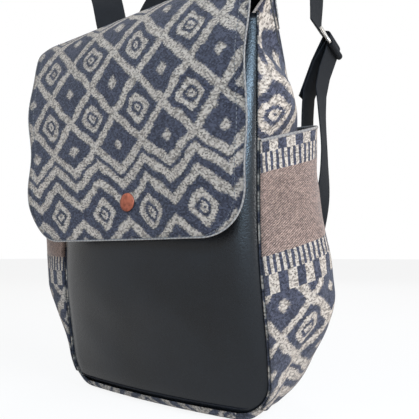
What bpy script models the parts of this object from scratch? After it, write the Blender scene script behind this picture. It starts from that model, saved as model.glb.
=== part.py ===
"""A soft backpack: dark leather-like front, patterned fabric flap, gussets and side pockets.

The bag stands on its bottom panel with its front towards -Y and its top towards +Z.
The origin is the middle of the flat underside. Sizes are in metres.
"""

import math

import bmesh
import bpy
from mathutils import Vector

# Bag body
PANEL_WIDTH = 0.240
BASE_DEPTH = 0.100
BASE_FLARE = 0.005
FRONT_TOP = 0.355
BACK_TOP = 0.402
SEAM_HEIGHT = 0.010
FRONT_CORNER = 0.030
BACK_CORNER = 0.042
PINCH_START = 0.150
BACK_TOP_Y = -0.020
TOP_DRAW_IN = 0.008
FRONT_LEAN = 0.014
BACK_LEAN = 0.005
BOTTOM_BOW = 0.012
BOTTOM_ROLL = 0.005
ROLL_SHARE = 0.14
PANEL_BULGE = 0.024
BACK_BULGE = 0.008
SIDE_BULGE = 0.026
FULLEST_HEIGHT = 0.118
UPPER_BULGE = 0.007
UPPER_HEIGHT = 0.300
VALLEY = 0.015
HEM_DIP = 0.014

# Cloth thicknesses and the room between neighbouring layers
LEATHER = 0.0014
FABRIC = 0.0012
LINING = 0.0009
WEBBING = 0.0015
LAYER_GAP = 0.0005
SEAM_GAP = 0.0016
LINING_INSET = 0.0042
LINING_STEP = 0.0022

# Side pockets: the left one gapes, the right one lies flatter
POCKET_FRONT_TOP = 0.246
POCKET_BACK_TOP = 0.289
POCKET_BELLY = 0.020
POCKET_FULLNESS = {"right": 0.006, "left": 0.042}
POCKET_SKEW = {"right": 1.35, "left": 0.45}
POCKET_END_TURN = math.radians(45)
POCKET_CLEARANCE = 0.0010

# Flap
FLAP_WIDTH = 0.258
FLAP_BACK_WIDTH = 0.250
FLAP_BOTTOM = 0.165
FLAP_CORNER = 0.042
FLAP_STANDOFF = 0.054
FLAP_RISE = 0.0100
FLAP_HEM = 0.024
FLAP_DROOP = 0.006
DIMPLE = 0.0060
DIMPLE_SPREAD = 0.055

# Snap fastener
SNAP_X = 0.006
SNAP_HEIGHT = 0.199
CAP_DIAMETER = 0.017
CAP_DOME = 0.0022
SOCKET_DIAMETER = 0.0125
SOCKET_THICKNESS = 0.0018
STUD_DIAMETER = 0.0120
STUD_BASE = 0.0010
POST_DIAMETER = 0.0040
SNAP_CLEARANCE = 0.0007

# Straps, sliders and rings
STRAP_WIDTH = 0.038
STRAP_SEWN = 0.026
WIRE = 0.0030
FITTING_CLEARANCE = 0.0003
SLIDER_LENGTH = 0.022
SLIDER_MARGIN = 0.0025
DOUBLED_END = 0.064
OUTER_TURN = 9
OUTER_SWAY = 0.004
RING_HEIGHT = 0.020
RING_X = 0.093
RING_PIVOT_HEIGHT = 0.072
RING_LEAN = math.radians(12)
RING_EASE = 0.012
TAB_FOOT = 0.030
TAB_WIDTH = 0.034
TAB_NECK = 0.011
TAB_CLEARANCE = 0.0012

# Grab handle
HANDLE_SPAN = 0.094
HANDLE_WEB = 0.027
HANDLE_LEG = 0.019
HANDLE_GAP = 0.0115

# Places that follow from the sizes above
POCKET_LEVEL = (FRONT_TOP - POCKET_FRONT_TOP) / (FRONT_TOP - SEAM_HEIGHT - FRONT_CORNER)
FLAP_OFFSET = LEATHER / 2 + LAYER_GAP + LINING + LAYER_GAP + FABRIC / 2
STRAP_OFFSET = FLAP_OFFSET + FABRIC / 2 + LAYER_GAP + WEBBING / 2
STRAP_ANCHOR_X = PANEL_WIDTH / 2 - TOP_DRAW_IN - STRAP_WIDTH / 2
FITTING_WINDOW = STRAP_WIDTH + 2 * SLIDER_MARGIN

# Mesh fineness
SIDE_ROWS = 10
CORNER_ROWS = 4
PANEL_COLUMNS = 10
GUSSET_COLUMNS = 8
FLAP_COLUMNS = 14
FLAP_ROWS = 19


def ease(low, high, value):
    """Smooth step from 0 at low to 1 at high."""
    t = min(1.0, max(0.0, (value - low) / (high - low)))
    return t * t * (3 - 2 * t)


def lerp(a, b, t):
    return a + (b - a) * t


def catmull(points, t):
    """Point on the smooth curve through points, t from 0 to 1."""
    last = len(points) - 1
    place = min(max(t, 0.0), 1.0) * last
    i = min(int(place), last - 1)
    f = place - i
    p1, p2 = points[i], points[i + 1]
    p0 = points[i - 1] if i > 0 else 2 * p1 - p2
    p3 = points[i + 2] if i + 2 <= last else 2 * p2 - p1
    return 0.5 * (2 * p1 + (p2 - p0) * f + (2 * p0 - 5 * p1 + 4 * p2 - p3) * f * f
                  + (3 * p1 - p0 - 3 * p2 + p3) * f * f * f)


# Scene and mesh helpers

def material(name, color, roughness, metallic=0.0):
    mat = bpy.data.materials.new(name)
    mat.use_nodes = True
    shader = mat.node_tree.nodes["Principled BSDF"]
    shader.inputs["Base Color"].default_value = (*color, 1.0)
    shader.inputs["Roughness"].default_value = roughness
    shader.inputs["Metallic"].default_value = metallic
    return mat


def add_object(name, mesh, mat, collection):
    obj = bpy.data.objects.new(name, mesh)
    obj.data.materials.append(mat)
    collection.objects.link(obj)
    return obj


def grid_mesh(name, rows):
    """Quad mesh through equal rows of points."""
    mesh = bpy.data.meshes.new(name)
    width = len(rows[0])
    faces = []
    for r in range(len(rows) - 1):
        for c in range(width - 1):
            a = r * width + c
            faces.append((a, a + 1, a + width + 1, a + width))
    mesh.from_pydata([tuple(p) for row in rows for p in row], [], faces)
    mesh.shade_smooth()
    return mesh


def cloth(name, rows, thickness, mat, collection):
    """Sheet through rows of points, made solid evenly about its middle surface."""
    obj = add_object(name, grid_mesh(name, rows), mat, collection)
    solid = obj.modifiers.new("thickness", "SOLIDIFY")
    solid.thickness = thickness
    solid.offset = 0.0
    return obj


def join(objects):
    """One object from several that share a material; the first keeps its name."""
    mesh = bmesh.new()
    for obj in objects:
        part = obj.data.copy()
        part.transform(obj.matrix_basis)
        mesh.from_mesh(part)
        bpy.data.meshes.remove(part)
    for obj in objects[1:]:
        bpy.data.objects.remove(obj)
    mesh.to_mesh(objects[0].data)
    mesh.free()
    objects[0].matrix_basis.identity()
    return objects[0]


# Body surfaces: a front and a back panel, with a strip of fabric between their seams

def pinch(z):
    """How far the bag has narrowed towards its top, 0 below PINCH_START and 1 at BACK_TOP."""
    return max(0.0, (z - PINCH_START) / (BACK_TOP - PINCH_START))


def half_width(face, z):
    drawn_in = TOP_DRAW_IN * pinch(z) ** 2 if face == "back" else 0.0
    return PANEL_WIDTH / 2 + BASE_FLARE * (1 - ease(0.06, 0.20, z)) - drawn_in


def seam_y(face, x, z):
    """Depth of a panel's edge, bowed outwards along the bottom."""
    bow = BOTTOM_BOW * (1 - min(1.0, abs(x) / half_width(face, z)) ** 2) * (1 - ease(0, 0.09, z))
    if face == "front":
        return -BASE_DEPTH / 2 - FRONT_LEAN * ease(0, 0.16, z) - bow
    lean = BACK_LEAN * ease(0, 0.10, z)
    reach = BASE_DEPTH / 2 + BACK_LEAN - BACK_TOP_Y
    return BASE_DEPTH / 2 + lean - reach * pinch(z) ** 1.6 + bow


def seam_point(face, level, turn, inset=0.0, drop=0.0):
    """Seam point (x, z): level runs 0 to 1 down the straight side, then turn is the corner's angle."""
    top, radius = (FRONT_TOP, FRONT_CORNER) if face == "front" else (BACK_TOP, BACK_CORNER)
    radius -= inset
    floor = SEAM_HEIGHT + inset
    z = lerp(top - drop, floor + radius, level) if turn == 0 else floor + radius * (1 - math.sin(turn))
    return half_width(face, z) - inset - radius * (1 - math.cos(turn)), z


def seam_stations(start=0.0, end_turn=math.pi / 2, corner_rows=None):
    """Levels and turns of the rows from the top of a side seam round its lower corner."""
    corner_rows = corner_rows or CORNER_ROWS
    stations = [(lerp(start, 1, i / SIDE_ROWS), 0.0) for i in range(SIDE_ROWS + 1)]
    return stations + [(1.0, end_turn * (i + 1) / corner_rows) for i in range(corner_rows)]


def pillow(face, x, z):
    """How far a panel stands out from the plane of its seams."""
    across = max(0.0, 1 - abs(x / half_width(face, z)) ** 2.6) ** 0.8
    if face == "front":
        v = (z - SEAM_HEIGHT) / (FRONT_TOP - SEAM_HEIGHT)
        return PANEL_BULGE * across * ease(0, 0.34, v) ** 0.8 * (1 - 0.55 * ease(0.6, 1, v))
    v = (z - SEAM_HEIGHT) / (BACK_TOP - SEAM_HEIGHT)
    return BACK_BULGE * across * ease(0, 0.3, v) * (1 - ease(0.5, 0.95, v))


def panel_point(face, x, z, outward=0.0):
    """Point of a panel's middle surface, moved out from the bag by outward."""
    sign = -1 if face == "front" else 1
    slope = (seam_y(face, x, z + 0.002) - seam_y(face, x, z - 0.002)) / 0.004
    normal = Vector((0, 1, -slope)).normalized() * sign
    return Vector((x, seam_y(face, x, z) + sign * pillow(face, x, z), z)) + normal * outward


def panel_rows(face, inset, outward=0.0, drop=0.0):
    rows = []
    for level, turn in seam_stations():
        half, z = seam_point(face, level, turn, inset, drop)
        columns = [half * (2 * c / PANEL_COLUMNS - 1) for c in range(PANEL_COLUMNS + 1)]
        rows.append([panel_point(face, x, z, outward) for x in columns])
    return rows


def side_bulge(z):
    full = ease(0, FULLEST_HEIGHT, z) * (1 - ease(FULLEST_HEIGHT, 0.26, z))
    upper = ease(0.19, UPPER_HEIGHT, z) * (1 - ease(UPPER_HEIGHT, 0.355, z))
    return SIDE_BULGE * full + UPPER_BULGE * upper - VALLEY * ease(0.315, 0.385, z)


def pocket_belly(side, z, t):
    """Extra fullness of a side pocket over its gusset."""
    mouth = lerp(POCKET_FRONT_TOP, POCKET_BACK_TOP, t)
    foot = ease(SEAM_HEIGHT, FULLEST_HEIGHT, z)
    hang = 0.5 * foot + 0.5 * ease(0.5 * mouth, mouth, z)
    gape = POCKET_FULLNESS[side] * foot * lerp(0.45, 1, z / mouth)
    return (POCKET_BELLY * hang + gape) * math.sin(math.pi * t ** POCKET_SKEW[side])


def no_belly(side, z, t):
    return 0.0


def roll(t):
    """How the bottom strip stands out beyond its seams, forwards near t = 0, back near t = 1."""
    near = math.sin(math.pi * min(1.0, min(t, 1 - t) / ROLL_SHARE))
    return math.copysign(BOTTOM_ROLL * near, t - 0.5)


def flat_sag(t):
    """Depth of the bottom strip's sag, level across the middle of its depth."""
    return SEAM_HEIGHT * ease(-0.02, ROLL_SHARE, min(t, 1 - t))


def strip_columns(margin=0.0):
    """Places across a strip from seam to seam, closer together near the seams."""
    edge = margin / BASE_DEPTH
    return [lerp(edge, 1 - edge, 0.5 - 0.5 * math.cos(math.pi * c / GUSSET_COLUMNS))
            for c in range(GUSSET_COLUMNS + 1)]


def strip_point(side, level, turn, t, belly=no_belly, outward=0.0, rolled=1.0):
    """Point of a side strip's middle surface, t from 0 at the front seam to 1 at the back seam."""
    front_x, front_z = seam_point("front", level, turn)
    back_x, back_z = seam_point("back", level, turn)
    y = lerp(seam_y("front", front_x, front_z), seam_y("back", back_x, back_z), t)
    z = lerp(front_z, back_z, t)
    across = math.sin(math.pi * t)
    lift = (side_bulge(z) * across + belly(side, z, t)) * math.cos(turn)
    down = math.sin(turn) ** 2
    x = lerp(front_x, back_x, t) + lift + outward * math.cos(turn)
    y += rolled * roll(t) * down
    z -= HEM_DIP * across * (1 - ease(0, 0.3, level)) + outward * math.sin(turn)
    z += (FABRIC / 2 - flat_sag(t)) * down
    return Vector((x if side == "right" else -x, y, z))


def bottom_point(share, t, raised=0.0, rolled=1.0):
    """Point of the bottom strip's middle surface, share from -1 to 1 between the corners."""
    corner = lerp(FRONT_CORNER, BACK_CORNER, t)
    x = share * (half_width("front", SEAM_HEIGHT) - corner)
    y = lerp(seam_y("front", x, SEAM_HEIGHT), seam_y("back", x, SEAM_HEIGHT), t) + rolled * roll(t)
    return Vector((x, y, SEAM_HEIGHT - flat_sag(t) + FABRIC / 2 + raised))


def build_body(leather, fabric, lining, collection):
    cloth("front_panel", panel_rows("front", SEAM_GAP), LEATHER, leather, collection)
    cloth("back_panel", panel_rows("back", SEAM_GAP), LEATHER, leather, collection)
    for side in ("right", "left"):
        rows = [[strip_point(side, level, turn, t) for t in strip_columns(SEAM_GAP)]
                for level, turn in seam_stations()]
        cloth("side_gusset_" + side, rows, FABRIC, fabric, collection)
        build_pocket(side, fabric, collection)
    ends = 1 - SEAM_GAP / PANEL_WIDTH * 2
    rows = [[bottom_point(ends * (2 * c / PANEL_COLUMNS - 1), t) for t in strip_columns(SEAM_GAP)]
            for c in range(PANEL_COLUMNS + 1)]
    cloth("bottom_panel", rows, FABRIC, fabric, collection)
    build_lining(lining, collection)


def build_pocket(side, fabric, collection):
    """Slip pocket over a gusset, sewn into both side seams and open at its top."""
    clear = FABRIC + POCKET_CLEARANCE
    stations = seam_stations(POCKET_LEVEL, POCKET_END_TURN, 2)
    rows = [[strip_point(side, level, turn, t, pocket_belly, clear) for t in strip_columns(SEAM_GAP)]
            for level, turn in stations]
    cloth("side_pocket_" + side, rows, FABRIC, fabric, collection)


def build_lining(lining, collection):
    """Sewn inner bag: two faces and the strip between them in one open shell."""
    front = panel_rows("front", LINING_INSET, -LINING_STEP, LINING_INSET)
    back = panel_rows("back", LINING_INSET, -LINING_STEP, LINING_INSET)
    stations = seam_stations(LINING_INSET / FRONT_TOP)
    between = strip_columns()[1:-1]

    def side_rows(side, column):
        return [[front[i][column]]
                + [strip_point(side, level, turn, t, no_belly, -LINING_INSET, 0) for t in between]
                + [back[i][column]] for i, (level, turn) in enumerate(stations)]

    floor = []
    for c in range(PANEL_COLUMNS - 1, 0, -1):
        share = 2 * c / PANEL_COLUMNS - 1
        middle = [bottom_point(share, t, LINING_INSET, 0) for t in between]
        floor.append([front[-1][c]] + middle + [back[-1][c]])
    strip = side_rows("right", -1) + floor + side_rows("left", 0)[::-1]
    faces = [add_object("lining_face", grid_mesh("lining_face", rows), lining, collection)
             for rows in (front, back)]
    obj = join([add_object("lining", grid_mesh("lining", strip), lining, collection)] + faces)
    mesh = bmesh.new()
    mesh.from_mesh(obj.data)
    bmesh.ops.remove_doubles(mesh, verts=mesh.verts, dist=0.0001)
    bmesh.ops.recalc_face_normals(mesh, faces=mesh.faces)
    mesh.to_mesh(obj.data)
    mesh.free()
    solid = obj.modifiers.new("thickness", "SOLIDIFY")
    solid.thickness = LINING
    solid.offset = 0.0


# Flap: from the back of the bag over its top and down the front

def flap_profile():
    """Centre line (y, z) of the flap's middle surface from its back hem to its lower edge."""
    foot = panel_point("back", 0, BACK_TOP - FLAP_HEM, FLAP_OFFSET)
    brim = panel_point("back", 0, BACK_TOP, FLAP_OFFSET)
    front_y = -BASE_DEPTH / 2 - FLAP_STANDOFF
    ridge = BACK_TOP + FLAP_RISE
    drop = ridge - FLAP_BOTTOM
    fall = [(0.05, 0), (0.22, 0.025), (0.39, 0.055), (0.616, 0.092), (0.79, 0.150), (0.88, 0.195),
            (0.955, 0.277), (1.0, 0.402), (1.015, 0.590), (1.0, 0.824), (0.975, 1.0)]
    return [Vector((foot.y, foot.z)), Vector((brim.y, brim.z))] + [
        Vector((lerp(brim.y, front_y, forward), ridge - down * drop)) for forward, down in fall]


def flap_stations():
    """Rows down the flap as (y, z, half width), spaced evenly and rounded at the lower corners."""
    profile = flap_profile()
    fine = [catmull(profile, i / 200) for i in range(201)]
    lengths = [0.0]
    for a, b in zip(fine, fine[1:]):
        lengths.append(lengths[-1] + (b - a).length)
    total = lengths[-1]
    places = [lerp(0, total - FLAP_CORNER, i / FLAP_ROWS) for i in range(FLAP_ROWS)]
    places += [total - FLAP_CORNER * (1 - math.sin(math.pi / 2 * i / CORNER_ROWS))
               for i in range(CORNER_ROWS + 1)]
    stations = []
    for place in places:
        i = max(n for n in range(len(lengths) - 1) if lengths[n] <= place + 1e-9)
        f = (place - lengths[i]) / (lengths[i + 1] - lengths[i])
        point = fine[i].lerp(fine[i + 1], f)
        half = lerp(FLAP_BACK_WIDTH, FLAP_WIDTH, ease(0, 0.30, place / total)) / 2
        left = max(0.0, FLAP_CORNER - (total - place))
        half -= FLAP_CORNER - math.sqrt(max(0.0, FLAP_CORNER ** 2 - left ** 2))
        stations.append((point.x, point.y, half))
    return stations


def flap_push(x, z):
    """How far the front of the flap is drawn in at the snap."""
    away = ((x - SNAP_X) / DIMPLE_SPREAD) ** 2 + ((z - SNAP_HEIGHT) / (1.3 * DIMPLE_SPREAD)) ** 2
    wave = 0.0022 * math.sin(z * 75 + 1.2) * (abs(x) / (FLAP_WIDTH / 2)) ** 3
    return DIMPLE * math.exp(-away) + wave


def flap_droop(x, z):
    """How far the side edges of the flap hang below its middle, most along the ridge."""
    ridge = ease(BACK_TOP, BACK_TOP + FLAP_RISE, z)
    return FLAP_DROOP * ridge * (abs(x) / (FLAP_WIDTH / 2)) ** 4


def flap_rows(outward):
    stations = flap_stations()
    rows = []
    for i, (y, z, half) in enumerate(stations):
        before = stations[max(i - 1, 0)]
        after = stations[min(i + 1, len(stations) - 1)]
        along = Vector((0, after[0] - before[0], after[1] - before[1])).normalized()
        normal = Vector((0, along.z, -along.y))
        front = ease(0.25, 0.45, i / len(stations))
        row = []
        for c in range(FLAP_COLUMNS + 1):
            x = half * (1 - 2 * c / FLAP_COLUMNS)
            point = Vector((x, y + flap_push(x, z) * front, z - flap_droop(x, z)))
            row.append(point + normal * outward)
        rows.append(row)
    return rows


def flap_front(outward):
    """Point on the flap at the snap, moved out from its middle surface."""
    rows = flap_stations()
    above = max(i for i, row in enumerate(rows) if row[1] >= SNAP_HEIGHT)
    (y0, z0, _), (y1, z1, _) = rows[above], rows[above + 1]
    y = lerp(y0, y1, (z0 - SNAP_HEIGHT) / (z0 - z1)) + flap_push(SNAP_X, SNAP_HEIGHT)
    return Vector((SNAP_X, y - outward, SNAP_HEIGHT))


def disc(name, diameter, profile, base, mat, collection, segments=24):
    """Turned piece about an axis along -Y; profile gives (radius share, height) from base outwards."""
    mesh = bpy.data.meshes.new(name)
    points = [(share * diameter / 2, 0, height) for share, height in profile]
    mesh.from_pydata(points, [(i, i + 1) for i in range(len(points) - 1)], [])
    obj = add_object(name, mesh, mat, collection)
    screw = obj.modifiers.new("turn", "SCREW")
    screw.axis = "Z"
    screw.steps = segments
    screw.render_steps = segments
    screw.use_merge_vertices = True
    screw.merge_threshold = 0.00001
    obj.rotation_euler = (math.pi / 2, 0, 0)
    obj.location = base
    return obj


def build_flap(fabric, lining, metal, collection, cutters):
    outer = cloth("flap", flap_rows(0), FABRIC, fabric, collection)
    inner = cloth("flap_lining", flap_rows(-(FABRIC / 2 + LAYER_GAP + LINING / 2)), LINING, lining,
                  collection)
    skin = panel_point("front", SNAP_X, SNAP_HEIGHT).y - LEATHER / 2
    face = flap_front(FABRIC / 2).y
    inside = flap_front(-FABRIC / 2 - LAYER_GAP - LINING).y
    bpy.ops.mesh.primitive_cylinder_add(vertices=16, radius=POST_DIAMETER / 2 + FITTING_CLEARANCE,
                                        depth=BASE_DEPTH / 2, location=(SNAP_X, skin, SNAP_HEIGHT),
                                        rotation=(math.pi / 2, 0, 0))
    hole = bpy.context.object
    hole.name = "snap_hole"
    for user in list(hole.users_collection):
        user.objects.unlink(hole)
    cutters.objects.link(hole)
    hole.hide_render = True
    hole.display_type = "WIRE"
    for obj in (outer, inner, bpy.data.objects["front_panel"]):
        cut = obj.modifiers.new("snap hole", "BOOLEAN")
        cut.operation = "DIFFERENCE"
        cut.object = hole
    post = POST_DIAMETER / CAP_DIAMETER
    shank = face - SNAP_CLEARANCE - (inside + SNAP_CLEARANCE)
    rim = CAP_DOME * 0.35
    disc("snap_cap", CAP_DIAMETER,
         [(0, CAP_DOME), (0.45, CAP_DOME * 0.9), (0.82, CAP_DOME * 0.66), (1, rim), (1, 0),
          (post, 0), (post, shank), (0, shank)],
         Vector((SNAP_X, face - SNAP_CLEARANCE, SNAP_HEIGHT)), metal, collection)
    bore = POST_DIAMETER / SOCKET_DIAMETER
    top = inside + SNAP_CLEARANCE + FITTING_CLEARANCE
    disc("snap_socket", SOCKET_DIAMETER,
         [(0, 0), (0.8, 0), (1, -0.25 * SOCKET_THICKNESS), (1, -0.75 * SOCKET_THICKNESS),
          (0.9, -SOCKET_THICKNESS), (bore + 0.12, -SOCKET_THICKNESS),
          (bore + 0.12, -0.35 * SOCKET_THICKNESS), (0, -0.35 * SOCKET_THICKNESS)],
         Vector((SNAP_X, top, SNAP_HEIGHT)), metal, collection)
    base = skin - SNAP_CLEARANCE
    stud = POST_DIAMETER / STUD_DIAMETER
    reach = base - (top + 0.35 * SOCKET_THICKNESS) - FITTING_CLEARANCE
    disc("snap_stud", STUD_DIAMETER,
         [(0, reach), (stud * 0.7, reach), (stud, reach - 0.0006), (stud, STUD_BASE), (0.9, STUD_BASE),
          (1, 0.7 * STUD_BASE), (1, 0), (stud, 0), (stud, -SNAP_CLEARANCE - LEATHER - SNAP_CLEARANCE),
          (0, -SNAP_CLEARANCE - LEATHER - SNAP_CLEARANCE)],
         Vector((SNAP_X, base, SNAP_HEIGHT)), metal, collection)


# Webbing: a flat band swept along stations of (centre, direction across)

def band(name, stations, width, thickness, mat, collection):
    rows = []
    for i, (point, across) in enumerate(stations):
        ahead = stations[min(i + 1, len(stations) - 1)][0]
        behind = stations[max(i - 1, 0)][0]
        along = (ahead - behind).normalized()
        flat = (across - along * across.dot(along)).normalized()
        rows.append([point + flat * (width * share) for share in (-0.5, 0, 0.5)])
    return cloth(name, rows, thickness, mat, collection)


def wrap(pins, step=math.radians(24)):
    """Path in a plane round pins (x, z, radius); a radius below 0 keeps the pin on the right."""
    tangents = []
    for (ax, az, ar), (bx, bz, br) in zip(pins, pins[1:]):
        gap = Vector((bx - ax, bz - az))
        k = br - ar
        length = math.sqrt(gap.length_squared - k * k)
        along = (gap * length - Vector((-gap.y, gap.x)) * k) / gap.length_squared
        left = Vector((-along.y, along.x))
        tangents.append((Vector((ax, az)) - left * ar, Vector((bx, bz)) - left * br))
    path = [tangents[0][0]]
    for (x, z, radius), (_, arrive), (leave, _) in zip(pins[1:-1], tangents, tangents[1:]):
        centre = Vector((x, z))
        start = math.atan2(arrive.y - z, arrive.x - x)
        end = math.atan2(leave.y - z, leave.x - x)
        sweep = (end - start) % (2 * math.pi) if radius > 0 else -((start - end) % (2 * math.pi))
        count = max(2, math.ceil(abs(sweep) / step))
        for i in range(count + 1):
            angle = start + sweep * i / count
            path.append(centre + Vector((math.cos(angle), math.sin(angle))) * abs(radius))
    path.append(tangents[-1][1])
    return path


def across_at(degrees):
    """Direction across a band, turned about the vertical from +X."""
    return Vector((math.cos(math.radians(degrees)), math.sin(math.radians(degrees)), 0))


def smooth_route(points, count):
    """Stations on the smooth curve through points of (x, y, z, degrees)."""
    places = [Vector(p[:3]) for p in points]
    turns = [p[3] for p in points]
    stations = []
    for i in range(count + 1):
        t = i / count
        stations.append((catmull(places, t), across_at(catmull(turns, t))))
    return stations


SLIDER_CENTRE = Vector((0.1435, 0.070, 0.380))
SLIDER_TILT = Vector((0.45, 0, -0.89)).normalized()
SLIDER_PITCH = SLIDER_LENGTH / 2 - WIRE / 2

# The doubled run between slider and ring: middle (x, y, z), turn in degrees, half the gap
STRAP_RUN = [
    (0.1258, 0.0700, 0.330, 90, 0.0068),
    (0.1245, 0.0700, 0.303, 90, 0.0070),
    (0.1245, 0.0710, 0.258, 88, 0.0080),
    (0.1220, 0.0745, 0.213, 75, 0.0080),
    (0.1100, 0.0790, 0.163, 42, 0.0056),
    (0.0985, 0.0755, 0.125, 14, 0.0040),
]

# The arch from the slider over to the top of the back, as (x, y, z, degrees)
STRAP_ARCH = {
    "right": [
        (0.1270, 0.070, 0.415, 90),
        (0.1275, 0.069, 0.445, 84),
        (0.1250, 0.058, 0.476, 68),
        (0.1170, 0.038, 0.494, 46),
        (0.1060, 0.017, 0.488, 24),
        (0.0950, 0.001, 0.462, 6),
        (0.0880, -0.008, 0.430, 0),
    ],
    "left": [
        (0.1300, 0.070, 0.415, 90),
        (0.1500, 0.069, 0.439, 84),
        (0.1760, 0.063, 0.474, 66),
        (0.1790, 0.045, 0.504, 30),
        (0.1540, 0.022, 0.512, -8),
        (0.1260, 0.004, 0.478, -30),
        (0.1080, -0.005, 0.438, -26),
    ],
}


def ring_pivot():
    """Middle of a ring's lower bar, clear of the fullest part of the back behind the ring."""
    fullest = RING_X - FITTING_WINDOW / 2 - WIRE
    back = panel_point("back", fullest, RING_PIVOT_HEIGHT).y + LEATHER / 2
    return Vector((RING_X, back + TAB_CLEARANCE + FABRIC + FITTING_CLEARANCE + WIRE / 2,
                   RING_PIVOT_HEIGHT))


def ring_top():
    return ring_pivot() + Vector((0, math.sin(RING_LEAN), math.cos(RING_LEAN))) * (RING_HEIGHT - WIRE)


def strap_stations(side):
    """Whole route of one strap, for the right-hand side."""
    turn = WIRE / 2 + FITTING_CLEARANCE + WEBBING / 2
    over = turn + WEBBING + FITTING_CLEARANCE
    y = SLIDER_CENTRE.y
    upright = across_at(90)
    centre = (SLIDER_CENTRE.x, SLIDER_CENTRE.z)
    upper = SLIDER_CENTRE - SLIDER_TILT * SLIDER_PITCH
    lower = SLIDER_CENTRE + SLIDER_TILT * SLIDER_PITCH
    inner, outer = [], []
    for i, (x, yy, z, degrees, gap) in enumerate(STRAP_RUN):
        free = math.sin(math.pi * i / (len(STRAP_RUN) - 1))
        normal = Vector((-across_at(degrees).y, across_at(degrees).x, 0))
        inner.append((*(Vector((x, yy, z)) + normal * gap), degrees))
        outer.append((*(Vector((x, yy, z)) - normal * (gap + OUTER_SWAY * free)),
                      degrees + OUTER_TURN * free))
    leg = Vector((0.1300, y, 0.357))
    down = (Vector(inner[0][:3]) - leg).normalized()
    beside = Vector((down.z, 0, -down.x)) * (WEBBING + FITTING_CLEARANCE)
    tail_top = leg + beside
    tail_end = tail_top + down * (DOUBLED_END - (SLIDER_CENTRE - leg).length)
    loop = wrap([(tail_top.x, tail_top.z, 0), (*centre, -turn), (leg.x, leg.z, 0)])
    stations = [(tail_end, upright)] + [(Vector((p.x, y, p.y)), upright) for p in loop]
    top = ring_top()
    above = top + Vector((0, RING_EASE * 0.3, RING_EASE))
    bend = wrap([(above.y + 1.2 * turn, above.z, 0), (top.y, top.z, -turn), (above.y - 1.2 * turn, above.z, 0)])
    stations += smooth_route(inner + [(top.x, *bend[0], 0)], 20)
    stations += [(Vector((top.x, p.x, p.y)), across_at(0)) for p in bend[1:-1]]
    stations += smooth_route([(top.x, *bend[-1], 0)] + outer[::-1], 20)
    meet = Vector((0.1365, y, 0.349))
    weave = wrap([(meet.x, meet.z, 0), (lower.x, lower.z, -turn), (*centre, over),
                  (upper.x, upper.z, -turn), (STRAP_ARCH[side][0][0], STRAP_ARCH[side][0][2] - 0.012, 0)])
    stations += [(Vector((p.x, y, p.y)), upright) for p in weave]
    sewn = [panel_point("back", STRAP_ANCHOR_X, BACK_TOP - share * STRAP_SEWN, STRAP_OFFSET)
            for share in (0, 0.5, 1)]
    rise = sewn[0] + Vector((0, 0.3 * RING_EASE, RING_EASE))
    stations += smooth_route(STRAP_ARCH[side] + [(*rise, 0)], 20)
    return stations + [(point, across_at(0)) for point in sewn]


def mirrored(stations):
    return [(Vector((-p.x, p.y, p.z)), Vector((-a.x, a.y, a.z))) for p, a in stations]


def wire_loop(name, width, height, mat, collection):
    """Rounded rectangle of wire in the YZ plane of its own frame, centred on its origin."""
    half_w = width / 2 - WIRE / 2
    half_h = height / 2 - WIRE / 2
    round_off = WIRE * 0.8
    corners = [(half_w, half_h, 0), (-half_w, half_h, 90), (-half_w, -half_h, 180), (half_w, -half_h, 270)]
    points = []
    for cx, cz, start in corners:
        ox = cx - math.copysign(round_off, cx)
        oz = cz - math.copysign(round_off, cz)
        for step in range(4):
            angle = math.radians(start + 30 * step)
            points.append((0, ox + round_off * math.cos(angle), oz + round_off * math.sin(angle)))
    curve = bpy.data.curves.new(name, "CURVE")
    curve.dimensions = "3D"
    curve.bevel_depth = WIRE / 2
    curve.bevel_resolution = 2
    spline = curve.splines.new("POLY")
    spline.points.add(len(points) - 1)
    for target, point in zip(spline.points, points):
        target.co = (*point, 1)
    spline.use_cyclic_u = True
    guide = bpy.data.objects.new(name + "_guide", curve)
    collection.objects.link(guide)
    mesh = bpy.data.meshes.new_from_object(guide.evaluated_get(bpy.context.evaluated_depsgraph_get()))
    bpy.data.objects.remove(guide)
    mesh.shade_smooth()
    return add_object(name, mesh, mat, collection)


def build_straps(webbing, leather, metal, collection, cutters):
    for side in ("right", "left"):
        sign = 1 if side == "right" else -1
        stations = strap_stations(side)
        if side == "left":
            stations = mirrored(stations)
        band("shoulder_strap_" + side, stations, STRAP_WIDTH, WEBBING, webbing, collection)
        slider = wire_loop("slider_" + side, FITTING_WINDOW + 2 * WIRE, SLIDER_LENGTH, metal, collection)
        add_bar(slider, FITTING_WINDOW + WIRE, cutters)
        slider.location = (sign * SLIDER_CENTRE.x, SLIDER_CENTRE.y, SLIDER_CENTRE.z)
        tilt = math.atan2(SLIDER_TILT.x, -SLIDER_TILT.z)
        slider.rotation_euler = (0, -sign * tilt, 0)
        build_ring(side, sign, metal, collection)
        build_ring_tab(side, sign, leather, collection)


def add_bar(slider, length, cutters):
    """Fuse the centre bar into a slider's frame."""
    bpy.ops.mesh.primitive_cylinder_add(vertices=12, radius=WIRE / 2, depth=length,
                                        rotation=(math.pi / 2, 0, 0))
    bar = bpy.context.object
    bar.name = slider.name + "_bar"
    for user in list(bar.users_collection):
        user.objects.unlink(bar)
    cutters.objects.link(bar)
    bar.parent = slider
    bar.hide_render = True
    bar.display_type = "WIRE"
    weld = slider.modifiers.new("centre bar", "BOOLEAN")
    weld.operation = "UNION"
    weld.object = bar


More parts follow.
